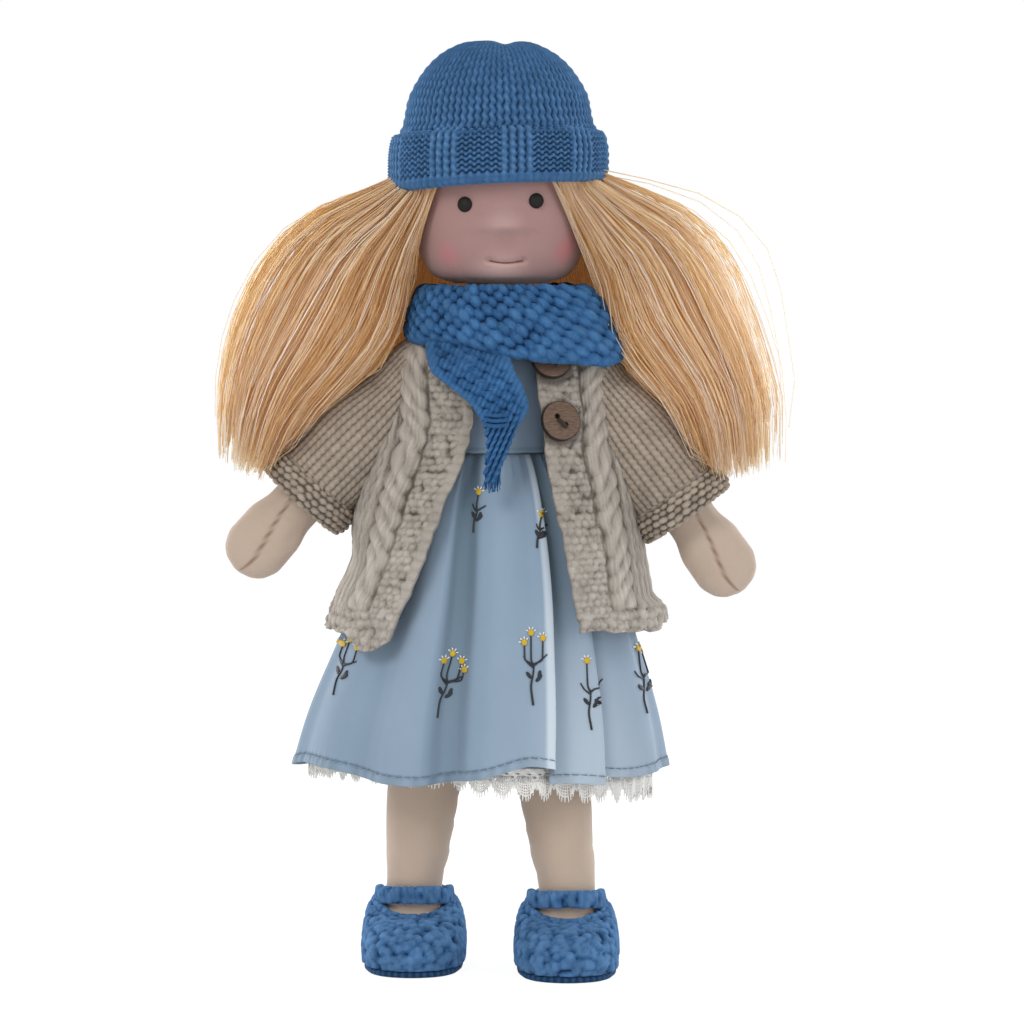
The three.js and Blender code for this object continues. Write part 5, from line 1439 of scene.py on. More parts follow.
def rib_columns(u, v, salt=0.0, sway=0.1):
    """Columns of plain knitting with dark valleys between; the stitches make each column sway."""
    column = u + sway * np.sin(2 * math.pi * v + scatter(np.floor(u), 1, salt))
    across = (column % 1) - 0.5
    ridge = 1 - np.abs(2 * across) ** 2.2
    leg = 0.5 + 0.5 * np.cos(2 * math.pi * (v + 0.55 * np.abs(across)))
    tint = scatter(np.floor(column), np.floor(v + 0.55 * np.abs(across)), salt + 2)
    return np.clip(ridge, 0, 1) ** 0.8 * (0.72 + 0.28 * leg), tint


def rope_strands(across, along, period=27.0):
    """Three strands of a twisted rope, across from -1 to 1; height from 0 to 1."""
    height = np.zeros(np.broadcast(across, along).shape)
    tint = np.zeros(height.shape)
    for k in range(3):
        phase = 2 * math.pi * (along / period + k / 3)
        centre = 0.52 * np.sin(phase)
        distance = (across - centre) / 0.5
        lump = np.sqrt(np.clip(1 - distance * distance, 0, 1)) * (0.72 + 0.28 * np.cos(phase))
        higher = lump > height
        height = np.where(higher, lump, height)
        tint = np.where(higher, 0.5 + 0.5 * np.cos(distance * 2.4), tint)
    return height, tint


oat_knit = yarn_material(
    "oat_knit", (0.115, 0.098, 0.080), (0.38, 0.343, 0.302), (0.63, 0.59, 0.545), 1100.0, 0.0010, 0.45
)
sleeve_knit = yarn_material(
    "sleeve_knit", (0.085, 0.066, 0.050), (0.300, 0.247, 0.198), (0.46, 0.40, 0.335), 1300.0, 0.0005, 0.35
)

cardigan_hem = 150
cardigan_top = 284
cardigan_half_width = 76.5
cardigan_half_depth = 57.5
cardigan_shares = [
    (0, 1, 1),
    (0.15, 0.945, 0.94),
    (0.3, 0.89, 0.86),
    (0.45, 0.84, 0.77),
    (0.6, 0.765, 0.67),
    (0.71, 0.715, 0.585),
    (0.81, 0.695, 0.52),
    (0.88, 0.68, 0.485),
    (0.94, 0.63, 0.44),
    (0.98, 0.51, 0.4),
    (1, 0.335, 0.34),
]
right_edge_shares = [(0, 0.58), (0.2, 0.48), (0.45, 0.35), (0.7, 0.22), (0.88, 0.26), (1, 0.3)]
left_edge_shares = [(0, 0.55), (0.3, 0.48), (0.5, 0.4), (0.7, 0.36), (0.9, 0.3), (1, 0.3)]


def cardigan_at(height):
    """Centre, half-width and half-depth of the cardigan's outside at a height."""
    share = np.clip((height - cardigan_hem) / (cardigan_top - cardigan_hem), 0, 1)
    _, skirt_wide, skirt_deep, fold = skirt_at(height)
    below = smooth_step(234, 228, height)
    wide = cardigan_half_width * read_table(cardigan_shares, share, 1)
    deep = cardigan_half_depth * read_table(cardigan_shares, share, 2)
    return (
        mix(hem_lean / 2, 2.5, share),
        np.maximum(wide, (skirt_wide + 0.75 * fold + 4.5) * below),
        np.maximum(deep, (skirt_deep + 0.75 * fold + 4.5) * below),
    )


def cardigan_point(angle, height, grow=0.0):
    x, wide, deep = cardigan_at(height)
    return points_of(x + (wide + grow) * np.cos(angle), (deep + grow) * np.sin(angle), height)


sleeve_length = 78
sleeve_top_radius = 15
sleeve_end_radius = 20.5
cuff_width = 11
sleeve_shares = [(0, 1, 0), (0.12, 1, 0), (0.3, 0.45, 0.55), (0.55, 0, 1), (1, 0, 1)]


def sleeve_radius(down):
    share = np.clip(down / sleeve_length, 0, 1)
    top = sleeve_top_radius * read_table(sleeve_shares, share, 1)
    return top + sleeve_end_radius * read_table(sleeve_shares, share, 2)


def sleeve_depth(radius):
    """A sleeve is flatter from front to back than it is wide."""
    return 0.8 * radius + 3


def arm_local(arm, points):
    """How far points lie aside of an arm's middle line, and how far up along it."""
    turn = arm["sign"] * arm["splay"]
    x = points[..., 0] - arm["sign"] * arm["shoulder"]
    z = points[..., 2] - shoulder_height
    return x * math.cos(turn) + z * math.sin(turn), z * math.cos(turn) - x * math.sin(turn)


def inside_sleeve(arm, points, shrink):
    """Which points lie inside a sleeve's outside, drawn in by shrink."""
    aside, along = arm_local(arm, points)
    radius = sleeve_radius(-along) - shrink
    tube = (aside / radius) ** 2 + (points[..., 1] / sleeve_depth(radius)) ** 2
    ball = (aside**2 + points[..., 1] ** 2 + along**2) < (sleeve_top_radius - shrink) ** 2
    return np.where(along > 0, ball, tube < 1)


button_places = {"upper": (23.5, 271.0), "lower": (27.5, 244.0)}
button_radius = 8.9


def cardigan_knit(points, from_edge, run, salt, edge_roll):
    """Height of the knitting over the cardigan's cloth, its pile and its tint."""
    z = points[..., 2]
    up = z - cardigan_hem
    wander = soft_noise(from_edge / 14 + salt, z / 17, salt)
    band = 18.5 + 2.2 * soft_noise(z / 21, salt, salt + 3)
    bumps, bump_tint = purl_bumps(
        run / 3.7 + 0.12 * wander, z / 3.15 + 0.35 * wander, salt, 0.52, 0.46
    )
    rope, rope_tint = rope_strands((from_edge - band - 9) / 8.0, z + 4 * wander)
    floats, float_tint = rib_columns(run / 5.2 + 0.25 * wander, z / 7.5, salt, 0.16)
    chunk, chunk_tint = purl_bumps(
        run / 4.7 + 0.3 * wander, up / 4.1 + 0.3 * wander, salt + 9, 0.56, 0.5
    )
    flat = points.reshape(-1, 3)
    loops, loop_tint = (part.reshape(z.shape) for part in cell_bumps(flat, 3.6, salt))
    clumps, clump_tint = (part.reshape(z.shape) for part in cell_bumps(flat, 5.0, salt + 7))
    rough = soft_noise(run * 1.25, z * 1.25, salt + 8)
    pits = smooth_step(0.15, 0.75, soft_noise(run / 3.4, z / 2.6, salt + 11))
    bumps = np.clip(0.42 * bumps + 0.62 * loops + 0.12 * rough, 0, 1)
    bump_tint = mix(bump_tint, loop_tint, 0.6)
    chunk = np.clip(0.4 * chunk + 0.66 * clumps + 0.12 * rough, 0, 1)
    chunk_tint = mix(chunk_tint, clump_tint, 0.6)
    strand = soft_noise(run * 1.5 + 0.8 * wander, z * 0.11, salt + 5)
    fine = soft_noise(run * 3.1, z * 0.3, salt + 6)
    in_band = smooth_step(band + 1.5, band - 1.0, from_edge)
    in_rope = smooth_step(band - 1, band + 1.5, from_edge) * smooth_step(band + 19, band + 16, from_edge)
    in_float = smooth_step(band + 16, band + 19, from_edge)
    in_hem = smooth_step(13.5 + 2 * wander, 11.0 + 2 * wander, up)
    roll = smooth_step(5.5, 3.0, from_edge + 0.8 * wander) * edge_roll * smooth_step(8, 22, up)
    stitch, stitch_tint = rib_columns(z / 4.2, run / 5, salt, 0.05)
    lift = in_band * (1.5 * bumps - 0.5 - 0.35 * pits) + in_rope * (2.3 * rope - 0.6 + 0.12 * strand)
    lift = lift + in_float * (0.75 * floats - 0.2 + 0.15 * strand)
    lift = mix(lift, 1.1 * bump(from_edge, 2.4, 2.2) + 0.35 * stitch + 0.25 * rough, roll)
    lift = mix(lift, 2.1 * chunk - 0.6 - 0.4 * pits, in_hem)
    pile = in_band * (0.22 + 0.70 * bumps - 0.14 * pits) + in_rope * (0.28 + 0.62 * rope)
    pile = pile + in_float * (0.42 + 0.42 * floats)
    pile = mix(pile, 0.55 + 0.3 * stitch, roll)
    pile = mix(pile, 0.2 + 0.76 * chunk - 0.25 * pits, in_hem)
    tint = in_band * bump_tint + in_rope * (0.25 + 0.6 * rope_tint) + in_float * (0.35 + 0.4 * float_tint)
    tint = mix(mix(tint, 0.4 + 0.4 * stitch_tint, roll), chunk_tint, in_hem)
    streak = (1 - in_band) * (1 - in_hem) * (1 - roll)
    tint = tint + 0.38 * strand * streak + 0.22 * fine * streak
    pile = pile + 0.12 * strand * streak
    # Painted shade: the knitting is made darker above 165 mm, under the hair and scarf.
    pile = pile - 0.2 * smooth_step(165, 215, z)
    lift = lift + 1.1 * wander * smooth_step(0, 10, from_edge)
    return lift, pile, np.clip(tint, 0, 1.2)


def row_runs(grid, reverse):
    """Distance along each row of a grid, from its first column or from its last."""
    step = np.linalg.norm(np.diff(grid, axis=1), axis=2)
    run = np.concatenate([np.zeros((len(grid), 1)), np.cumsum(step, axis=1)], axis=1)
    return run[:, -1:] - run if reverse else run


def hem_shape(x):
    """How much higher the cardigan's front hem is at x: its right corner hangs, its ends curl up."""
    right = 3.5 * smooth_step(-51, -43, x) - 6.0 * bump(x, -59, 8) + 2.5 * smooth_step(-66, -74, x)
    return right + 3.0 * smooth_step(66, 75, x) - 1.0 * smooth_step(20, 60, x)


cardigan_pieces = {
    "cardigan_left_front": (150, 246, 5.0, 0.35),
    "cardigan_right_front": (156, 246, 8.0, 1.0),
    "cardigan_back": (262, 172, 2.0, 0.0),
}
for name, (columns, rows, salt, edge_roll) in cardigan_pieces.items():
    level = np.linspace(0, 1, rows)[:, None]
    across = np.linspace(0, 1, columns)[None, :]
    if name == "cardigan_left_front":
        turn = mix(-np.arccos(read_table(left_edge_shares, level, 1)), 0.0, across)
    elif name == "cardigan_right_front":
        turn = mix(-math.pi, np.arccos(read_table(right_edge_shares, level, 1)) - math.pi, across)
    else:
        turn = math.pi * across + 0 * level
    if edge_roll:
        edge_side = across if name == "cardigan_right_front" else 1 - across
        turn = turn - 0.009 * edge_side**3 * soft_noise(level * 34, salt, salt + 1)
    wavy = 1.3 * soft_noise(turn * 11, salt, salt)
    hem_x = cardigan_point(turn, cardigan_hem)[..., 0]
    wavy = wavy + hem_shape(hem_x) * smooth_step(0.5, 0.0, np.sin(turn))
    height = mix(cardigan_hem, cardigan_top, level) + wavy * smooth_step(0.14, 0.0, level)
    base = cardigan_point(turn, height, -1.2)
    low = smooth_step(170, 160, height)
    base[..., 0] += smooth_step(-50, -70, base[..., 0]) * (5.0 * bump(height, 182, 14) + 2.0 * low)
    base[..., 0] += 5.0 * smooth_step(54, 72, base[..., 0]) * smooth_step(169, 160, height)
    if name == "cardigan_back":
        run = row_runs(base, False)
        from_edge = 60 + run
    else:
        from_edge = row_runs(base, name == "cardigan_right_front")
        run = from_edge
    lift, pile, tint = cardigan_knit(base, from_edge, run, salt, edge_roll)
    facing = loft_normals(base, False)
    for place_x, place_z in button_places.values() if name == "cardigan_left_front" else ():
        away = np.hypot(base[..., 0] - place_x, base[..., 2] - place_z)
        under = smooth_step(button_radius + 2.2, button_radius - 0.5, away)
        lift = mix(lift, -0.9, under)
        pile = mix(pile, 0.2, under)
    keep = np.ones((rows - 1, columns - 1), dtype=bool)
    for arm in arms.values():
        keep &= ~inside_sleeve(arm, base[:-1, :-1], 1.4)
    outer = base + facing * lift[..., None]
    inner = base - facing * 1.9
    piece = cloth_piece(
        name + "_knit", outer, inner, False, {"pile": pile, "tint": tint},
        np.stack([run, height], axis=-1), keep,
    )
    piece.data.materials.append(oat_knit)
    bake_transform(piece)
    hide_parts(name)
    wide = 0.2 if name == "cardigan_back" else 0.071

sleeve_lining = [
    (13.6, 2.5), (11.5, 7.5), (6.5, 11.0), (0.0, 12.5), (-11.0, 12.5), (-28.0, 15.2), (-45.0, 17.8),
]
turned_cuff = [
    (-6.0, 18.0), (-0.8, 18.4), (0.6, 19.8), (0.6, 21.8), (-1.0, 23.3), (-5.0, 23.9),
    (-9.0, 23.7), (-10.8, 22.8), (-11.3, 21.6), (-11.6, 20.4),
]
cuff_profile = np.array(sleeve_lining + [(-sleeve_length - z, radius) for z, radius in turned_cuff])
hidden_rows = 9
for name, arm in arms.items():
    angle = full_turn(288)
    hidden = cuff_profile[:hidden_rows]
    turned = cuff_profile[hidden_rows - 1:]
    turned_run = run_along(turned)
    turned_table = [(a, b, c) for a, (b, c) in zip(turned_run / turned_run[-1], turned)]
    t = np.linspace(0, 1, 40)[1:]
    cuff = np.stack([read_table(turned_table, t, 1), read_table(turned_table, t, 2)], axis=-1)
    down = np.linspace(sleeve_length - cuff_width - 1.1, 0, 150)
    tube = np.stack([-down, sleeve_radius(down)], axis=-1)
    tilt = np.linspace(0, math.radians(72), 18)[1:]
    cap = sleeve_top_radius * np.stack([np.sin(tilt), np.cos(tilt)], axis=-1)
    profile = np.concatenate([hidden, cuff, tube, cap])
    radius = profile[:, 1:2]
    local = points_of(
        radius * np.cos(angle), sleeve_depth(radius) * np.sin(angle) * smooth_step(0, 8, radius),
        profile[:, :1],
    )
    run = run_along(profile)[:, None]
    around = angle[None, :] * 36 / (2 * math.pi)
    sway = soft_noise(angle[None, :] * 3 + arm["sign"], profile[:, :1] / 14, 4.0)
    plain, plain_tint = rib_columns(
        around + 0.012 * profile[:, :1] * arm["sign"], profile[:, :1] / 3.1 + 0.3 * sway,
        3.0 + arm["sign"], 0.05,
    )
    lumps, lump_tint = purl_bumps(
        angle[None, :] * 34 / (2 * math.pi), run / 2.75 + 0.2 * sway, arm["sign"]
    )
    row = np.arange(len(profile))[:, None]
    in_cuff = ((row >= hidden_rows) & (row < hidden_rows + len(cuff))).astype(float)
    in_tube = (row >= hidden_rows + len(cuff)).astype(float)
    crease = bump(angle[None, :], math.pi + 0.9, 0.7) * bump(profile[:, :1], -22, 9)
    lift = in_cuff * (1.25 * lumps - 0.45) + in_tube * (0.95 * plain - 0.35 - 1.2 * crease)
    lift = lift + in_tube * 0.5 * sway
    pile = in_cuff * (0.14 + 0.80 * lumps) + in_tube * (0.02 + 0.95 * plain)
    tint = in_cuff * lump_tint + in_tube * (0.2 + 0.6 * plain_tint) + 0.12 * sway
    rings = local + loft_normals(local, True) * lift[..., None]
    piece = stuffed_form(f"{name}_sleeve_knit", arm_place(arm, rings), {"pile": pile, "tint": tint})
    dress(piece, sleeve_knit, f"{name}_arm", f"{name}_sleeve")


# Buttons: two discs turned from dark wood with a raised rim, each sewn to the left front
# through two holes with dark thread.
wood, _, wood_out = node_group("wood_grain", {})
wood_place = node(wood, "ShaderNodeTexCoord")
wood_stretch = node(
    wood, "ShaderNodeMapping",
    {"Vector": wood_place.outputs["Object"], "Rotation": (0.0, 0.5, 0.0), "Scale": (260.0, 900.0, 2200.0)},
)
wood_lines = noise(wood, {"Vector": wood_stretch.outputs["Vector"], "Scale": 1.0, "Detail": 4.0})
wood_tone = node(wood, "ShaderNodeValToRGB", {"Fac": wood_lines})
wood_tone.color_ramp.elements[0].position = 0.3
wood_tone.color_ramp.elements[0].color = (0.090, 0.056, 0.040, 1)
wood_tone.color_ramp.elements[1].position = 0.7
wood_tone.color_ramp.elements[1].color = (0.175, 0.115, 0.083, 1)
wood.links.new(wood_tone.outputs["Color"], wood_out["Colour"])
wood.links.new(wood_lines, wood_out["Height"])

button_wood, button_tree, button_shader = new_material("button_wood", 0.5)
button_grain = node(button_tree, "ShaderNodeGroup", node_tree=wood)
button_tree.links.new(button_grain.outputs["Colour"], button_shader.inputs["Base Color"])
add_relief(button_tree, button_shader, button_grain.outputs["Height"], 0.00006, 0.6)
rim_wood, rim_tree, rim_shader = new_material("button_rim_wood", 0.42)
rim_grain = node(rim_tree, "ShaderNodeGroup", node_tree=wood)
rim_dark = node(
    rim_tree, "ShaderNodeHueSaturation", {"Color": rim_grain.outputs["Colour"], "Value": 0.22}
)
rim_tree.links.new(rim_dark.outputs["Color"], rim_shader.inputs["Base Color"])
dark_thread = thread_material("button_thread", (0.022, 0.014, 0.010), (0.045, 0.03, 0.022))


def lone(made):
    """Leaves one object selected and active."""
    bpy.ops.object.select_all(action="DESELECT")
    made.select_set(True)
    bpy.context.view_layer.objects.active = made


def select_top(made, level):
    """Selects, in edit mode, the faces of a disc that look up at a level or above."""
    bpy.ops.object.mode_set(mode="OBJECT")
    for face in made.data.polygons:
        face.select = face.normal.z > 0.9 and face.center.z > level and face.area > 1e-6
    bpy.ops.object.mode_set(mode="EDIT")
    bpy.ops.mesh.select_mode(type="FACE")


for name, (place_x, place_z) in button_places.items():
    x, wide, deep = cardigan_at(np.array([place_z, place_z + button_radius]))
    turn = -math.acos((place_x - x[0]) / wide[0])
    low = np.array([x[0] + wide[0] * math.cos(turn), deep[0] * math.sin(turn), place_z])
    high = np.array([x[1] + wide[1] * math.cos(turn), deep[1] * math.sin(turn), place_z + button_radius])
    facing = Vector((math.cos(turn) / wide[0], math.sin(turn) / deep[0], 0)).normalized()
    slope = math.atan2(float(np.dot(high - low, facing)), button_radius)
    facing = facing * math.cos(slope) - Vector((0, 0, 1)) * math.sin(slope)
    bpy.ops.object.select_all(action="DESELECT")
    bpy.ops.mesh.primitive_cylinder_add(
        vertices=72, radius=button_radius / 1000, depth=0.003, location=(0, 0, 0.0015)
    )
    button = bpy.context.object
    button.name = name + "_button_disc"
    bpy.ops.object.mode_set(mode="EDIT")
    bpy.ops.mesh.select_all(action="DESELECT")
    select_top(button, 0.002)
    for inset, rise in ((0.0007, 0.0002), (0.0006, -0.0007), (0.0012, -0.0001)):
        bpy.ops.mesh.inset(thickness=inset)
        bpy.ops.transform.translate(value=(0, 0, rise))
    bpy.ops.object.mode_set(mode="OBJECT")
    rounded = button.modifiers.new("rounded", "BEVEL")
    rounded.width = 0.00035
    rounded.segments = 3
    rounded.limit_method = "ANGLE"
    rounded.angle_limit = math.radians(25)
    bpy.ops.object.modifier_apply(modifier="rounded")
    for side in (-1, 1):
        bpy.ops.object.select_all(action="DESELECT")
        bpy.ops.mesh.primitive_cylinder_add(
            vertices=28, radius=0.0013, depth=0.02, location=(side * 0.0026, 0, 0)
        )
        drill = bpy.context.object
        lone(button)
        hole = button.modifiers.new("hole", "BOOLEAN")
        hole.object = drill
        hole.operation = "DIFFERENCE"
        bpy.ops.object.modifier_apply(modifier="hole")
        bpy.data.objects.remove(drill)
    up_axis = Vector((0, 0, 1))
    side_axis = up_axis.cross(facing).normalized()
    top_axis = facing.cross(side_axis)
    slant = math.radians(-47)
    slot_axis = side_axis * math.cos(slant) + top_axis * math.sin(slant)
    cross_axis = facing.cross(slot_axis)
    turned = Matrix((slot_axis, cross_axis, facing)).transposed().to_4x4()
    turned.translation = Vector(low / 1000) + facing * 0.0007
    button.data.transform(turned)
    button.data.materials.append(button_wood)
    button.data.materials.append(rim_wood)
    for face in button.data.polygons:
        out = turned.inverted() @ face.center
        face.material_index = 1 if math.hypot(out.x, out.y) > 0.0080 else 0
    lone(button)
    bpy.ops.object.shade_smooth_by_angle(angle=math.radians(35))
    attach(button, "torso")
    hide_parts(f"{name}_button")
    thread_parts = []
    for strand in (-0.55, 0.0, 0.55):
        t = np.linspace(0, math.pi, 15)
        local = points_of(2.6 * np.cos(t), strand * np.sin(t) ** 0.5, 0.4 + 2.55 * np.sin(t) ** 0.3)
        placed = [tuple(1000 * (turned @ Vector(point / 1000))) for point in local]
        thread_parts.append(swept_tube(np.array(placed), 0.42, 7))
    stitches = mesh_object(name + "_button_stitches", *join_parts(thread_parts))
    dress(stitches, dark_thread, "torso", f"{name}_button_thread")


# Hair: fine strawberry blond threads, knotted to a thin cap in small tufts. Two long locks stand
# out over the shoulders and one falls behind; each has a combed core under its loose threads.
hair_threads, hair_tree, hair_shader = new_material("hair_threads", 0.42)
hair_tone = node(hair_tree, "ShaderNodeValToRGB", {"Fac": kept(hair_tree, "tint")})
hair_ramp = hair_tone.color_ramp
hair_ramp.elements[0].position = 0.0
hair_ramp.elements[0].color = (0.48, 0.21, 0.065, 1)
hair_ramp.elements[1].position = 1.0
hair_ramp.elements[1].color = (1.0, 0.93, 0.76, 1)
for hair_place, hair_colour in ((0.3, (0.78, 0.44, 0.19, 1)), (0.6, (0.96, 0.66, 0.38, 1))):
    hair_ramp.elements.new(hair_place).color = hair_colour
hair_root = map_range(hair_tree, kept(hair_tree, "along"), (0.0, 0.45), (0.55, 0.0))
hair_mixed = colour_mix(hair_tree, hair_root, hair_tone.outputs["Color"], (0.48, 0.30, 0.20, 1))
hair_tree.links.new(hair_mixed, hair_shader.inputs["Base Color"])
hair_shader.inputs["Specular IOR Level"].default_value = 0.35
# Painted light: a faint orange glow stands in for light shining through the threads.
hair_shader.inputs["Emission Color"].default_value = (1.0, 0.50, 0.17, 1)
hair_shader.inputs["Emission Strength"].default_value = 0.055
hair_shader.inputs["Subsurface Weight"].default_value = 0.5
hair_shader.inputs["Subsurface Radius"].default_value = (1.0, 0.6, 0.3)
hair_shader.inputs["Subsurface Scale"].default_value = 0.003

hair_reach = 125
hair_tip = 220
hair_top = 351
root_radius = 42.4
right_lock = [
    (0.3, 1, 0.24, 0.82, 0.5),
    (0.49, 0.975, 0.3, 0.76, 0.75),
    (0.69, 0.89, 0.32, 0.65, 0.92),
    (0.83, 0.75, 0.34, 0.53, 1),
    (0.92, 0.585, 0.42, 0.385, 1),
    (0.975, 0.415, 0.55, 0.27, 0.92),
    (1, 0.24, 0.66, 0.16, 0.8),
    (1, 0.08, 0.76, 0, 0.6),
]
left_lock = [
    (0.32, 1, 0.27, 0.82, 0.5),
    (0.52, 0.975, 0.33, 0.74, 0.75),
    (0.7, 0.885, 0.37, 0.62, 0.92),
    (0.82, 0.75, 0.39, 0.49, 1),
    (0.89, 0.6, 0.48, 0.36, 1),
    (0.95, 0.44, 0.59, 0.25, 0.92),
    (1, 0.25, 0.66, 0.12, 0.8),
    (1, 0.07, 0.7, 0, 0.6),
]
back_lock = [
    (0, 0.8, 1.08), (0.12, 0.98, 1.08), (0.4, 1, 1.05), (0.7, 0.9, 1.02), (0.9, 0.75, 1), (1, 0.6, 0.97),
]


def lock_point(table, sign, t, p, q):
    """A place in a side lock: t down its length, p across it and q through its depth, -1 to 1."""
    t, p, q = np.broadcast_arrays(t, p, q)
    rows = [(i / 7, *row) for i, row in enumerate(table)]
    inside = np.clip(t, 0, 1)
    out_x, out_z, in_x, in_z, depth = (read_table(rows, inside, k) for k in range(1, 6))
    centre_x = hair_reach * (out_x + in_x) / 2
    centre_z = mix(hair_tip, hair_top, (out_z + in_z) / 2)
    half_x = hair_reach * (out_x - in_x) / 2
    half_z = (hair_top - hair_tip) * (out_z - in_z) / 2
    beyond = np.maximum(t - 1, 0)
    across = np.clip((p + 1) / 2, 0, 1)
    front = np.clip((q * sign / np.sqrt(np.clip(1 - p * p, 0.03, 1)) + 1) / 2, 0, 1)
    turn = np.radians(mix(-42, 56 + 4 * sign - 42 * across, front))
    rooted = smooth_step(0.19, -0.03, t)
    forward = 13 * bump(t, 0.09, 0.13) * front * (1 - across)
    side = mix(centre_x + half_x * p + 4 * beyond, root_radius * np.cos(turn), rooted)
    return points_of(
        sign * side + head_x * rooted,
        mix(-2 - 28 * depth * q * sign - forward, -root_radius * np.sin(turn), rooted),
        mix(centre_z + half_z * p - 125 * beyond, 357 + 3 * p, rooted),
    )


def back_point(t, p, q):
    """A place in the back lock."""
    t, p, q = np.broadcast_arrays(t, p, q)
    up = np.clip(1 - t, 0, 1)
    wide = read_table(back_lock, up, 1)
    back = read_table(back_lock, up, 2)
    return points_of(head_x + wide * 60 * p, back * 44 + 8 * q - 20 * p * p, mix(hair_tip, 348, 1 - t))


def off_oval(points, x, wide, deep, inside):
    """Moves the points that are inside an upright oval column out to its surface."""
    off = points[..., 0] - x
    centre = np.sign(off) * np.minimum(24, 0.7 * np.abs(off))
    step_x = (off - centre) / wide
    step_y = points[..., 1] / deep
    start = centre / wide
    square = step_x**2 + step_y**2 + 1e-9
    half = start * step_x
    push = (np.sqrt(half**2 + square * (1 - start**2)) - half) / square
    push = np.where(inside & (push > 1), push, 1.0)
    return points_of(x + centre + step_x * push * wide, step_y * push * deep, points[..., 2])


def clear_of_doll(points, room):
    """Lays hair on the head, scarf, cardigan and sleeves where it would run through them."""
    z = points[..., 2]
    head_wide, head_deep = head_at(np.clip(z, 308, 407))
    points = off_oval(points, head_x, head_wide + 2.0 + room, head_deep + 2.0 + room, z > 306)
    lean = 9 * np.clip((z - 278) / 28, 0, 1)
    band = (z > 274) & (z < 307)
    points = off_oval(points, 3.0, 50.5 - lean + room, 43.5 - lean + room, band)
    x, wide, deep = cardigan_at(z)
    points = off_oval(points, x, wide + 1.2 + room, deep + 1.2 + room, z < 285)
    for arm in arms.values():
        aside, along = arm_local(arm, points)
        cuffed = 3.2 * smooth_step(cuff_width - sleeve_length + 2, cuff_width - sleeve_length - 1, along)
        radius = sleeve_radius(-along) + 1.3 + room + cuffed
        through = points[..., 1] / sleeve_depth(radius)
        over = arm["sign"] * aside / radius
        reach = np.sqrt(over**2 + through**2) + 1e-6
        inside = (reach < 1) & (along < 4) & (along > -sleeve_length - 6)
        lifted = np.sqrt(np.clip(1 - through**2, 0, 1))
        over = np.where(inside, lifted, over)
        aside = arm["sign"] * over * radius
        points = arm_place(arm, points_of(aside, points[..., 1], along))
    return points


thread_places = [-0.05, 0.02, 0.08, 0.16, 0.27, 0.39, 0.51, 0.64, 0.76, 0.88, 1.0]
threads_per_tuft = 11


def hair_lock(name, place, count, salt, thin_edge):
    """Loose threads of one lock in tufts, each a thin three-sided thread with ragged ends."""
    generator = np.random.default_rng(salt)
    tufts = count // threads_per_tuft
    p = generator.uniform(-1, 1, tufts)
    edge = np.where(p > 0.55, thin_edge, 1.0)
    p = np.where(generator.uniform(0, 1, tufts) < edge, p, generator.uniform(-1, 0.5, tufts))
    rim = np.sqrt(np.clip(1 - p * p, 0.03, 1))
    q = generator.uniform(-1, 1, tufts)
    q = np.sign(q) * np.abs(q) ** 0.6 * rim
    drift_p = generator.normal(0, 0.055, tufts)
    drift_q = generator.normal(0, 0.10, tufts)
    tuft_tint = generator.uniform(0.2, 0.8, tufts)
    tuft_end = 1.0 - 0.16 * generator.uniform(0, 1, tufts) ** 1.6
    tuft_end = tuft_end - 0.1 * (generator.uniform(0, 1, tufts) < 0.14)
    which = generator.integers(0, tufts, count)
    stray = generator.uniform(0, 1, count) < 0.045
    wide_p = generator.normal(0, 0.035, count) + stray * generator.normal(0.05, 0.09, count)
    wide_q = generator.normal(0, 0.06, count) + stray * generator.normal(0, 0.2, count)
    t = np.array(thread_places)[None, :]
    rows = len(thread_places)
    t = t + generator.uniform(-0.04, 0.04, count)[:, None] * np.sin(math.pi * np.clip(t, 0, 1))
    t = t * (tuft_end[which] + generator.uniform(-0.035, 0.045, count))[:, None]
    spread = 0.35 + 1.25 * np.sin(math.pi * np.clip(t, 0.03, 0.97)) + 0.5 * t
    sway = np.sin(t * 5.0 + generator.uniform(0, 6.3, count)[:, None]) * 0.012
    flow = np.sin(t * 3.4 + (which % 17)[:, None]) * 0.03
    at_p = p[which][:, None] + drift_p[which][:, None] * (2 * t - 0.8) + wide_p[:, None] * spread
    at_p = at_p + sway + flow
    at_q = q[which][:, None] + drift_q[which][:, None] * (2 * t - 1) + wide_q[:, None] * spread
    line = place(t, at_p, at_q)
    line = clear_of_doll(line, 0.6 + 1.6 * generator.uniform(0, 1, count)[:, None])
    along = unit(np.gradient(line, axis=1))
    side = unit(np.cross(along, np.array([0.0, 1.0, 0.0])), 1e-6)
    third = np.cross(side, along)
    thick = generator.uniform(0.19, 0.29, count)[:, None] * np.linspace(1.1, 0.55, rows)[None, :]
    turn = generator.uniform(0, 6.28, count)
    rings = np.empty((count, rows, 3, 3))
    for k in range(3):
        angle = (turn + 2 * math.pi * k / 3)[:, None, None]
        rings[:, :, k] = line + thick[..., None] * (side * np.cos(angle) + third * np.sin(angle))
    points = rings.reshape(-1, 3)
    each = 3 * rows
    start = np.arange(count)[:, None] * each
    quads = []
    for r in range(rows - 1):
        for k in range(3):
            n = (k + 1) % 3
            quads.append(start + np.array([[r * 3 + k, r * 3 + n, r * 3 + 3 + n, r * 3 + 3 + k]]))
    faces = np.concatenate(quads).tolist()
    faces += (start + np.array([[2, 1, 0]])).tolist()
    faces += (start + np.array([[each - 3, each - 2, each - 1]])).tolist()
    tint = tuft_tint[which] + generator.normal(0, 0.2, count) + 0.3 * stray
    tint = np.repeat(np.clip(tint, 0, 1), each)
    return mesh_object(name, points, faces, {"tint": tint, "along": np.repeat(t.reshape(-1), 3)})


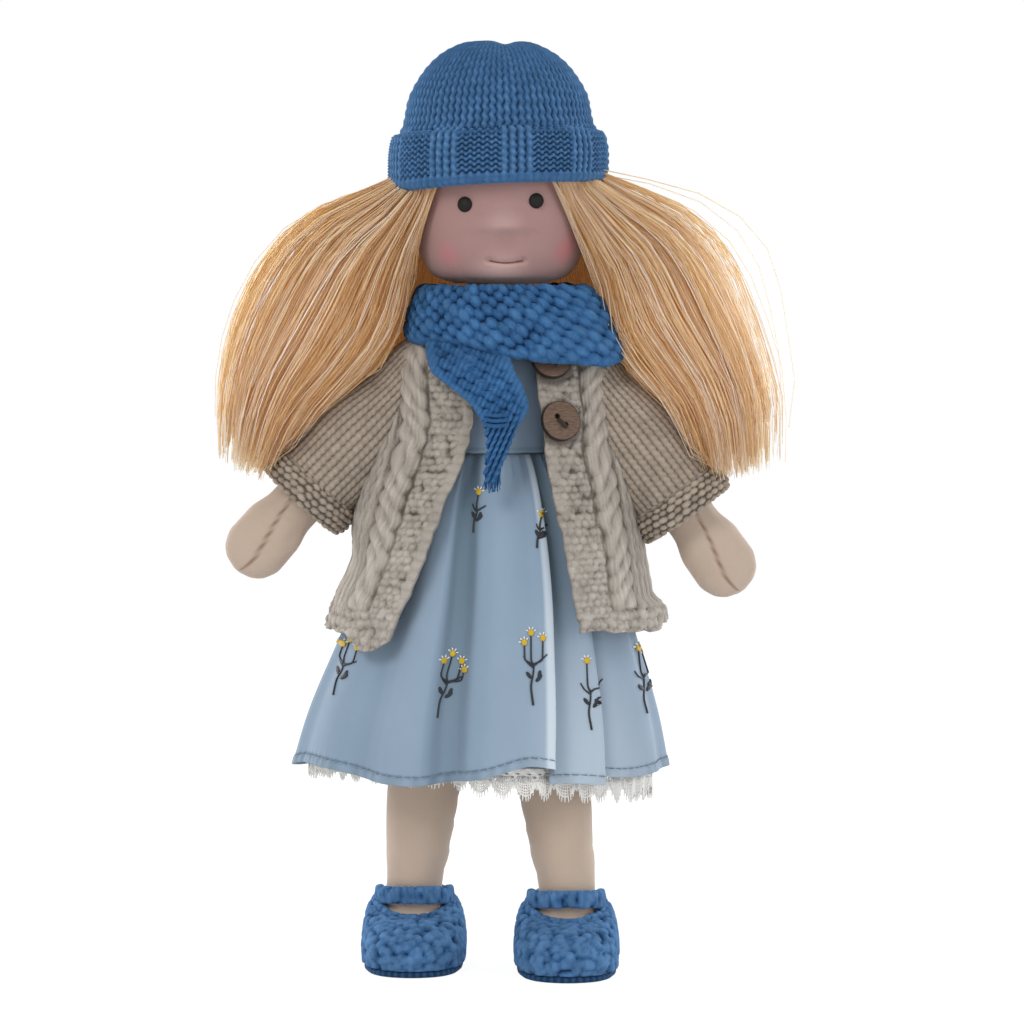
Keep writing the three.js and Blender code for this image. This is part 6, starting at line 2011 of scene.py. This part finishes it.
def hair_core(name, place, share, salt):
    """The combed inside of a lock: a smaller closed form with fine ridges down its length."""
    t = np.linspace(-0.02, 0.86, 60)[:, None]
    angle = full_turn(180)[None, :]
    wave = soft_noise(angle * 9, t * 1.5, salt)
    comb = soft_noise(angle * 34 + 0.8 * wave, t * 3.0, salt + 2)
    grow = share * (1 + 0.035 * wave + 0.03 * comb) * (1 - 0.25 * smooth_step(0.7, 0.86, t))
    rings = place(t, grow * np.cos(angle), grow * np.sin(angle))
    rings = clear_of_doll(rings, 0.3)
    tint = np.clip(0.38 + 0.22 * comb + 0.2 * wave, 0, 1)
    return stuffed_form(name, rings[::-1], {"tint": tint[::-1], "along": t[::-1]})


for name, table, sign, salt, thin_edge in (
    ("hair_right", right_lock, -1, 21, 0.34),
    ("hair_left", left_lock, 1, 37, 0.28),
):
    def side_place(t, p, q, table=table, sign=sign):
        return lock_point(table, sign, t, p, q)

    core = hair_core(f"{name}_core", side_place, 0.7, salt)
    threads = hair_lock(f"{name}_threads", side_place, 3050, salt, thin_edge)
    for piece in (core, threads):
        dress(piece, hair_threads, "head", name)

back_core_t = np.linspace(-0.03, 0.82, 60)
back_core_angle = full_turn(220)
back_comb = soft_noise(back_core_angle[None, :] * 30, back_core_t[:, None] * 3, 5.0)
back_flat = squared(np.cos(back_core_angle), 0.8)
back_rings = back_point(
    back_core_t[:, None], 0.9 * back_flat[None, :],
    (0.42 + 0.12 * back_comb) * np.sin(back_core_angle)[None, :],
)
# Painted shade: the back lock's core gets a dark tint and much of the root colour, for the shade it lies in
# behind the face.
back_core = stuffed_form(
    "hair_back_core", back_rings[::-1], {"tint": 0.15 + 0.4 * back_comb[::-1], "along": 0.1}
)
back_threads = hair_lock("hair_back_threads", back_point, 2600, 55, 1.0)
for piece in (back_core, back_threads):
    dress(piece, hair_threads, "head", "hair_back")

cap_angle = full_turn(240)
cap_low = mix(360.0, 324.0, smooth_step(-0.8, 0.75, np.sin(cap_angle)))
cap_up = np.linspace(0, 1, 40)[:, None] ** 0.9
cap_height = cap_low + (head_top - cap_low) * cap_up
cap_comb = 0.25 * soft_noise(cap_angle[None, :] * 26, cap_height / 30, 8.0)
cap_outer = head_surface(cap_angle[None, :], cap_height, 1.5 + cap_comb)
cap_inner = head_surface(cap_angle[None, :], cap_height, 0.5)
cap_rings = np.concatenate([cap_inner[::-1], cap_outer])
cap_tint = np.concatenate([0 * cap_comb, 0.4 + cap_comb])
cap_piece = stuffed_form("hair_cap_base", cap_rings, {"tint": cap_tint, "along": 0.2})
dress(cap_piece, hair_threads, "head", "hair_cap")


# Hat: blue wool knitted round from the brim, its crown drawn in at the top. The turned-up brim
# has groups of ribs between blocks of wavy rows, and a rolled lower edge.
blue_knit = yarn_material(
    "blue_knit", (0.005, 0.018, 0.05), (0.036, 0.105, 0.235), (0.13, 0.27, 0.48), 1500.0, 0.0004, 0.6
)
hat_shares = [
    (0, 0.965),
    (0.03, 1),
    (0.17, 1.005),
    (0.3, 0.985),
    (0.335, 0.93),
    (0.39, 0.878),
    (0.58, 0.815),
    (0.72, 0.72),
    (0.86, 0.56),
    (0.95, 0.35),
    (1, 0.07),
]
hat_half_width = 48.4
hat_bottom = 351.0
hat_height = 65.0
hat_peak = 413.6
hat_up = np.concatenate([np.linspace(0.37, 0.86, 74), np.linspace(0.865, 1.0, 34)])


def hat_line(up):
    """Height and radius of the hat's outside at shares of its height."""
    return np.stack([hat_bottom + hat_height * up, hat_half_width * read_table(hat_shares, up, 1)], axis=-1)


hat_crown = hat_line(hat_up)
hat_side = hat_line(np.linspace(0.05, 0.30, 42))
hat_lining_up = np.linspace(1.0, 0.06, 14)
hat_lining = np.stack([
    hat_bottom + hat_height * hat_lining_up - 2.6 * hat_lining_up**3,
    np.clip(hat_half_width * read_table(hat_shares, hat_lining_up, 1) - 3.6, 0.5, 44.0),
], axis=-1)
hat_edge = np.array([
    (351.6, 44.4), (350.4, 45.2), (349.9, 46.2), (350.2, 47.5), (351.3, 48.4), (352.6, 48.7), (353.6, 48.5),
])
hat_fold = np.array([
    (371.2, 47.5), (372.2, 47.2), (372.9, 46.5), (373.1, 45.7), (373.0, 45.0), (373.3, 44.3), (374.0, 43.6),
])
hat_profile = np.concatenate([hat_lining, hat_edge, hat_side, hat_fold, hat_crown])
hat_ribs = 81
hat_angle = full_turn(6 * hat_ribs)[None, :]
hat_row = np.arange(len(hat_profile))[:, None]
hat_radius = hat_profile[:, 1:2]
hat_z = hat_profile[:, :1]
hat_rings = points_of(hat_radius * np.cos(hat_angle), hat_radius * np.sin(hat_angle), hat_z)
first_rib = -math.pi / 2 + math.asin(8.6 / hat_half_width)
hat_u = hat_ribs * (hat_angle - first_rib) / (2 * math.pi)
hat_run = run_along(hat_profile)[:, None]
hat_wander = soft_noise(hat_angle * 5, hat_z / 13, 2.0)
hat_narrow = np.minimum(1, (2 * math.pi * hat_radius / hat_ribs) / 3.6)
crown_rib, crown_tint = rib_columns(hat_u + 0.5, hat_run / 4.3 + 0.35 * hat_wander, 7.0, 0.13)
brim_rib, brim_tint = rib_columns(hat_u, hat_z / 3.4 + 0.3 * hat_wander, 9.0, 0.07)
hat_fuzz = soft_noise(hat_angle * 48, hat_run * 0.55, 12.0)
brim_block = (hat_u + 2.0) % 9
in_ribs = smooth_step(0.0, 0.25, brim_block) * smooth_step(4.0, 3.75, brim_block)
purl_wave = hat_z / 2.35 + 0.26 * np.cos(2 * math.pi * hat_u) + 0.25 * hat_wander
purl_tint = scatter(np.floor(hat_u + 0.5), np.floor(purl_wave), 4.0)
purl_rows = np.abs(np.sin(math.pi * purl_wave)) ** 1.2 * (0.8 + 0.2 * np.cos(4 * math.pi * hat_u))
edge_rows = np.abs(np.sin(math.pi * (hat_run / 2.6))) ** 1.1 * (0.8 + 0.2 * np.cos(2 * math.pi * hat_u))
brim_height = mix(purl_rows, brim_rib, in_ribs)
lining_count = len(hat_lining)
side_start = lining_count + len(hat_edge)
crown_start = side_start + len(hat_side) + len(hat_fold)
on_lining = (hat_row < lining_count).astype(float)
on_edge = ((hat_row >= lining_count) & (hat_row < side_start)).astype(float)
on_brim = ((hat_row >= side_start) & (hat_row < crown_start)).astype(float)
on_crown = (hat_row >= crown_start).astype(float)
edge_height = mix(edge_rows, brim_rib, 0.7)
hat_lift = on_brim * (1.6 * brim_height - 0.7 + 0.45 * hat_wander) + on_edge * (0.8 * edge_height - 0.3)
hat_lift = hat_lift + on_crown * hat_narrow * (1.7 * crown_rib - 0.7 + 0.5 * hat_wander)
hat_pile = on_brim * (-0.1 + 1.05 * brim_height) + on_edge * (0.3 + 0.45 * edge_height)
hat_pile = hat_pile + on_crown * mix(0.42, -0.15 + 1.1 * crown_rib, hat_narrow**2) + on_lining * 0.3
hat_pile = hat_pile + 0.12 * hat_fuzz
hat_tint = on_brim * mix(purl_tint, brim_tint, in_ribs) + on_crown * crown_tint + on_edge * 0.5
hat_out = hat_rings + loft_normals(hat_rings, True) * hat_lift[..., None]
top_near = smooth_step(400, 414, hat_out[..., 2])
hat_out[..., 2] = np.minimum(hat_out[..., 2], hat_peak) + 0.4 * np.maximum(hat_out[..., 2] - hat_peak, 0)
hat_out[..., 2] -= 1.7 * top_near * bump(hat_out[..., 0], 3.2, 4.0)
hat_share = np.clip((hat_out[..., 2] - hat_bottom) / hat_height, 0, 1)
hat_out[..., 2] += 1.6 * (1 - hat_share) * hat_out[..., 0] / hat_half_width
hat_dip = bump(hat_angle, 3.75, 0.5) * smooth_step(360, 350, hat_out[..., 2])
hat_out[..., 2] -= 1.3 * hat_dip
hat_piece = stuffed_form("hat_knit", hat_out, {"pile": hat_pile, "tint": 0.3 + 0.5 * hat_tint})
dress(hat_piece, blue_knit, "hat", "hat")


# Scarf: bright blue wool in thick bumps, a band wound once round the neck with a corner standing
# out, and one end that hangs in front, drawn together with yarn and left to fray.
scarf_knit = yarn_material(
    "scarf_knit", (0.004, 0.016, 0.05), (0.025, 0.095, 0.24), (0.085, 0.22, 0.44), 1300.0, 0.0009, 0.4
)
band_shares = [
    (0, 0.06), (0.3, 0.01), (0.55, 0), (0.82, 0.05), (1, 0.2), (1.03, 0.42), (1, 0.6), (0.72, 0.93),
    (0.35, 1), (0, 0.9),
]


def lumpy(u, v, salt):
    """Big bumps of scarf knitting in slanted columns; height and share."""
    return purl_bumps(v, u, salt, 0.5, 0.74)


band_steps = 520
band_angle = full_turn(band_steps)[:, None]
band_sides = 110
band_t = np.linspace(0, 1, band_sides + 1)[:-1]
band_keys = np.array(band_shares + band_shares[:1], dtype=float)
band_steps_long = np.hypot(9 * np.diff(band_keys[:, 0]), 27 * np.diff(band_keys[:, 1]))
band_keys_run = np.concatenate([[0], np.cumsum(band_steps_long)])
band_keys_run /= band_keys_run[-1]
band_out = np.interp(band_t, band_keys_run, band_keys[:, 0])
band_up = np.interp(band_t, band_keys_run, band_keys[:, 1])
for _ in range(6):
    band_out = (np.roll(band_out, 1) + 2 * band_out + np.roll(band_out, -1)) / 4
    band_up = (np.roll(band_up, 1) + 2 * band_up + np.roll(band_up, -1)) / 4
band_corner = bump(band_angle, 5.75, 0.4)
band_front = bump(band_angle, 5.2, 0.8)
band_wide = 47 + 11 * band_corner
band_deep = 42 + 4.5 * band_corner
band_low = 281 - 9 * band_front - 4.5 * band_corner + 0.8 * np.sin(band_angle * 5)
band_inset = (1 - band_out) * 9
band_lean = 9 * band_up
band_grid = points_of(
    5 * (1 - band_up) + (band_wide - band_inset - band_lean) * np.cos(band_angle),
    (band_deep - band_inset - band_lean) * np.sin(band_angle),
    mix(band_low, 305.5, band_up),
)[::-1]
band_facing = loft_normals(np.concatenate([band_grid[-1:], band_grid, band_grid[:1]]), True)[1:-1]
band_arc = band_angle[::-1] * 46
band_fall = 306 - band_grid[..., 2]
band_wander = soft_noise(band_arc / 14, band_fall / 10, 3.0)
band_bumps, band_tint = lumpy(
    (band_arc - 0.3 * band_fall) / 4.25 + 0.12 * band_wander, band_fall / 5.9 + 0.1 * band_wander, 5.0
)
band_hem = bump(band_up, 0.0, 0.075)[None, :] * (band_out > 0.35)[None, :]
band_rough = soft_noise(band_arc * 1.1, band_fall * 1.1, 13.0)
band_lift = mix(2.3 * band_bumps - 0.9, 0.7 + 0.3 * band_bumps, band_hem) + 0.7 * band_wander
band_lift = band_lift + 0.25 * band_rough
band_pile = mix(0.06 + 0.82 * band_bumps, 0.55 + 0.25 * band_bumps, band_hem) + 0.14 * band_rough
band_points = band_grid + band_facing * band_lift[..., None]
band_faces = grid_faces(band_steps, band_sides, True)
last = (band_steps - 1) * band_sides
for i in range(band_sides):
    j = (i + 1) % band_sides
    band_faces.append([last + i, last + j, j, i])
band_piece = mesh_object(
    "scarf_band", band_points.reshape(-1, 3), band_faces,
    {"pile": band_pile.ravel(), "tint": (0.25 + 0.6 * band_tint).ravel()},
)

tail_rows = [
    (0, 286.0, -30.5, 3.0),
    (0.1, 278.5, -31.0, 3.6),
    (0.24, 268.7, -28.9, 6.3),
    (0.35, 261.2, -20.0, 10.0),
    (0.48, 252.4, -10.0, 12.6),
    (0.6, 244.2, -5.7, 8.3),
    (0.76, 233.3, -4.4, 3.9),
    (0.87, 227.0, -5.2, 1.4),
    (0.95, 222.0, -5.4, -1.0),
    (1, 219.3, -4.9, -2.9),
]
tail_down = np.linspace(0, 1, 170)[:, None]
tail_angle = full_turn(170)[None, :]
tail_z = read_table(tail_rows, tail_down, 1)
tail_left = read_table(tail_rows, tail_down, 2)
tail_right = read_table(tail_rows, tail_down, 3)
tail_round = squared(np.cos(tail_angle), 0.75)
tail_through = squared(np.sin(tail_angle), 0.6)
tail_x = (tail_left + tail_right) / 2 + (tail_right - tail_left) / 2 * tail_round
tail_thick = mix(2.4, 1.7, tail_down)
tail_tuck = 9 * smooth_step(0.24, 0.09, tail_down)
tail_y = tail_tuck - 42 - 2 * tail_down + 11 * (tail_x / 30) ** 2 + tail_thick * tail_through
tail_grid = points_of(tail_x, tail_y, tail_z)
tail_facing = -loft_normals(tail_grid, True)
tail_fall = 286 - tail_z
tail_bumps, tail_bump_tint = lumpy((tail_x - 0.5 * tail_fall) / 4.1, tail_fall / 5.4, 9.0)
tail_strand, tail_strand_tint = rib_columns((tail_x + 0.45 * tail_fall) / 2.4, tail_fall / 3.3, 6.0, 0.06)
tail_edge = smooth_step(0.70, 0.92, np.abs(tail_round))
tail_end = smooth_step(0.5, 0.66, tail_down)
tail_height = mix(0.55 * tail_bumps + 0.45 * tail_strand, 0.75 + 0.2 * tail_strand, tail_edge)
tail_height = mix(tail_height, tail_strand, tail_end)
tail_points = tail_grid + tail_facing * (2.0 * tail_height - 0.8)[..., None]
tail_values = {
    "pile": (-0.15 + 1.1 * tail_height)[::-1],
    "tint": (0.25 + 0.6 * mix(tail_bump_tint, tail_strand_tint, 0.5))[::-1],
}
tail_piece = stuffed_form("scarf_end", tail_points[::-1], tail_values)

wrap_parts = []
for k in range(3):
    t = np.linspace(0, 2 * math.pi, 22)
    wrap_z = 249.5 - 2.3 * k + 0.9 * np.sin(t)
    wrap_parts.append(swept_tube(points_of(-0.4 + 5.0 * np.cos(t), -43.2 + 4.1 * np.sin(t), wrap_z), 0.95, 7))
for k in range(46):
    start_x = -4.5 + 6.5 * scatter(k, 1, 3)
    start_z = 234 - 12 * scatter(k, 2, 3)
    t = np.linspace(0, 1, 7)
    fall = 12 + 13 * scatter(k, 3, 3)
    lowest = max(start_z - fall, 214.5 + 4 * scatter(k, 6, 3))
    line = points_of(
        start_x - 1.5 * t + 3.6 * (scatter(k, 4, 3) - 0.5) * t * t,
        -45.6 + 3.4 * scatter(k, 5, 3),
        start_z - (start_z - lowest) * t,
    )
    wrap_parts.append(swept_tube(line, 0.34 * np.linspace(1, 0.5, 7), 5))
wrap_points, wrap_faces = join_parts(wrap_parts)
wrap_piece = mesh_object("scarf_yarn_ends", wrap_points, wrap_faces,
                         {"pile": np.full(len(wrap_points), 0.62), "tint": np.full(len(wrap_points), 0.55)})
for piece in (band_piece, tail_piece, wrap_piece):
    dress(piece, scarf_knit, "torso", "scarf")
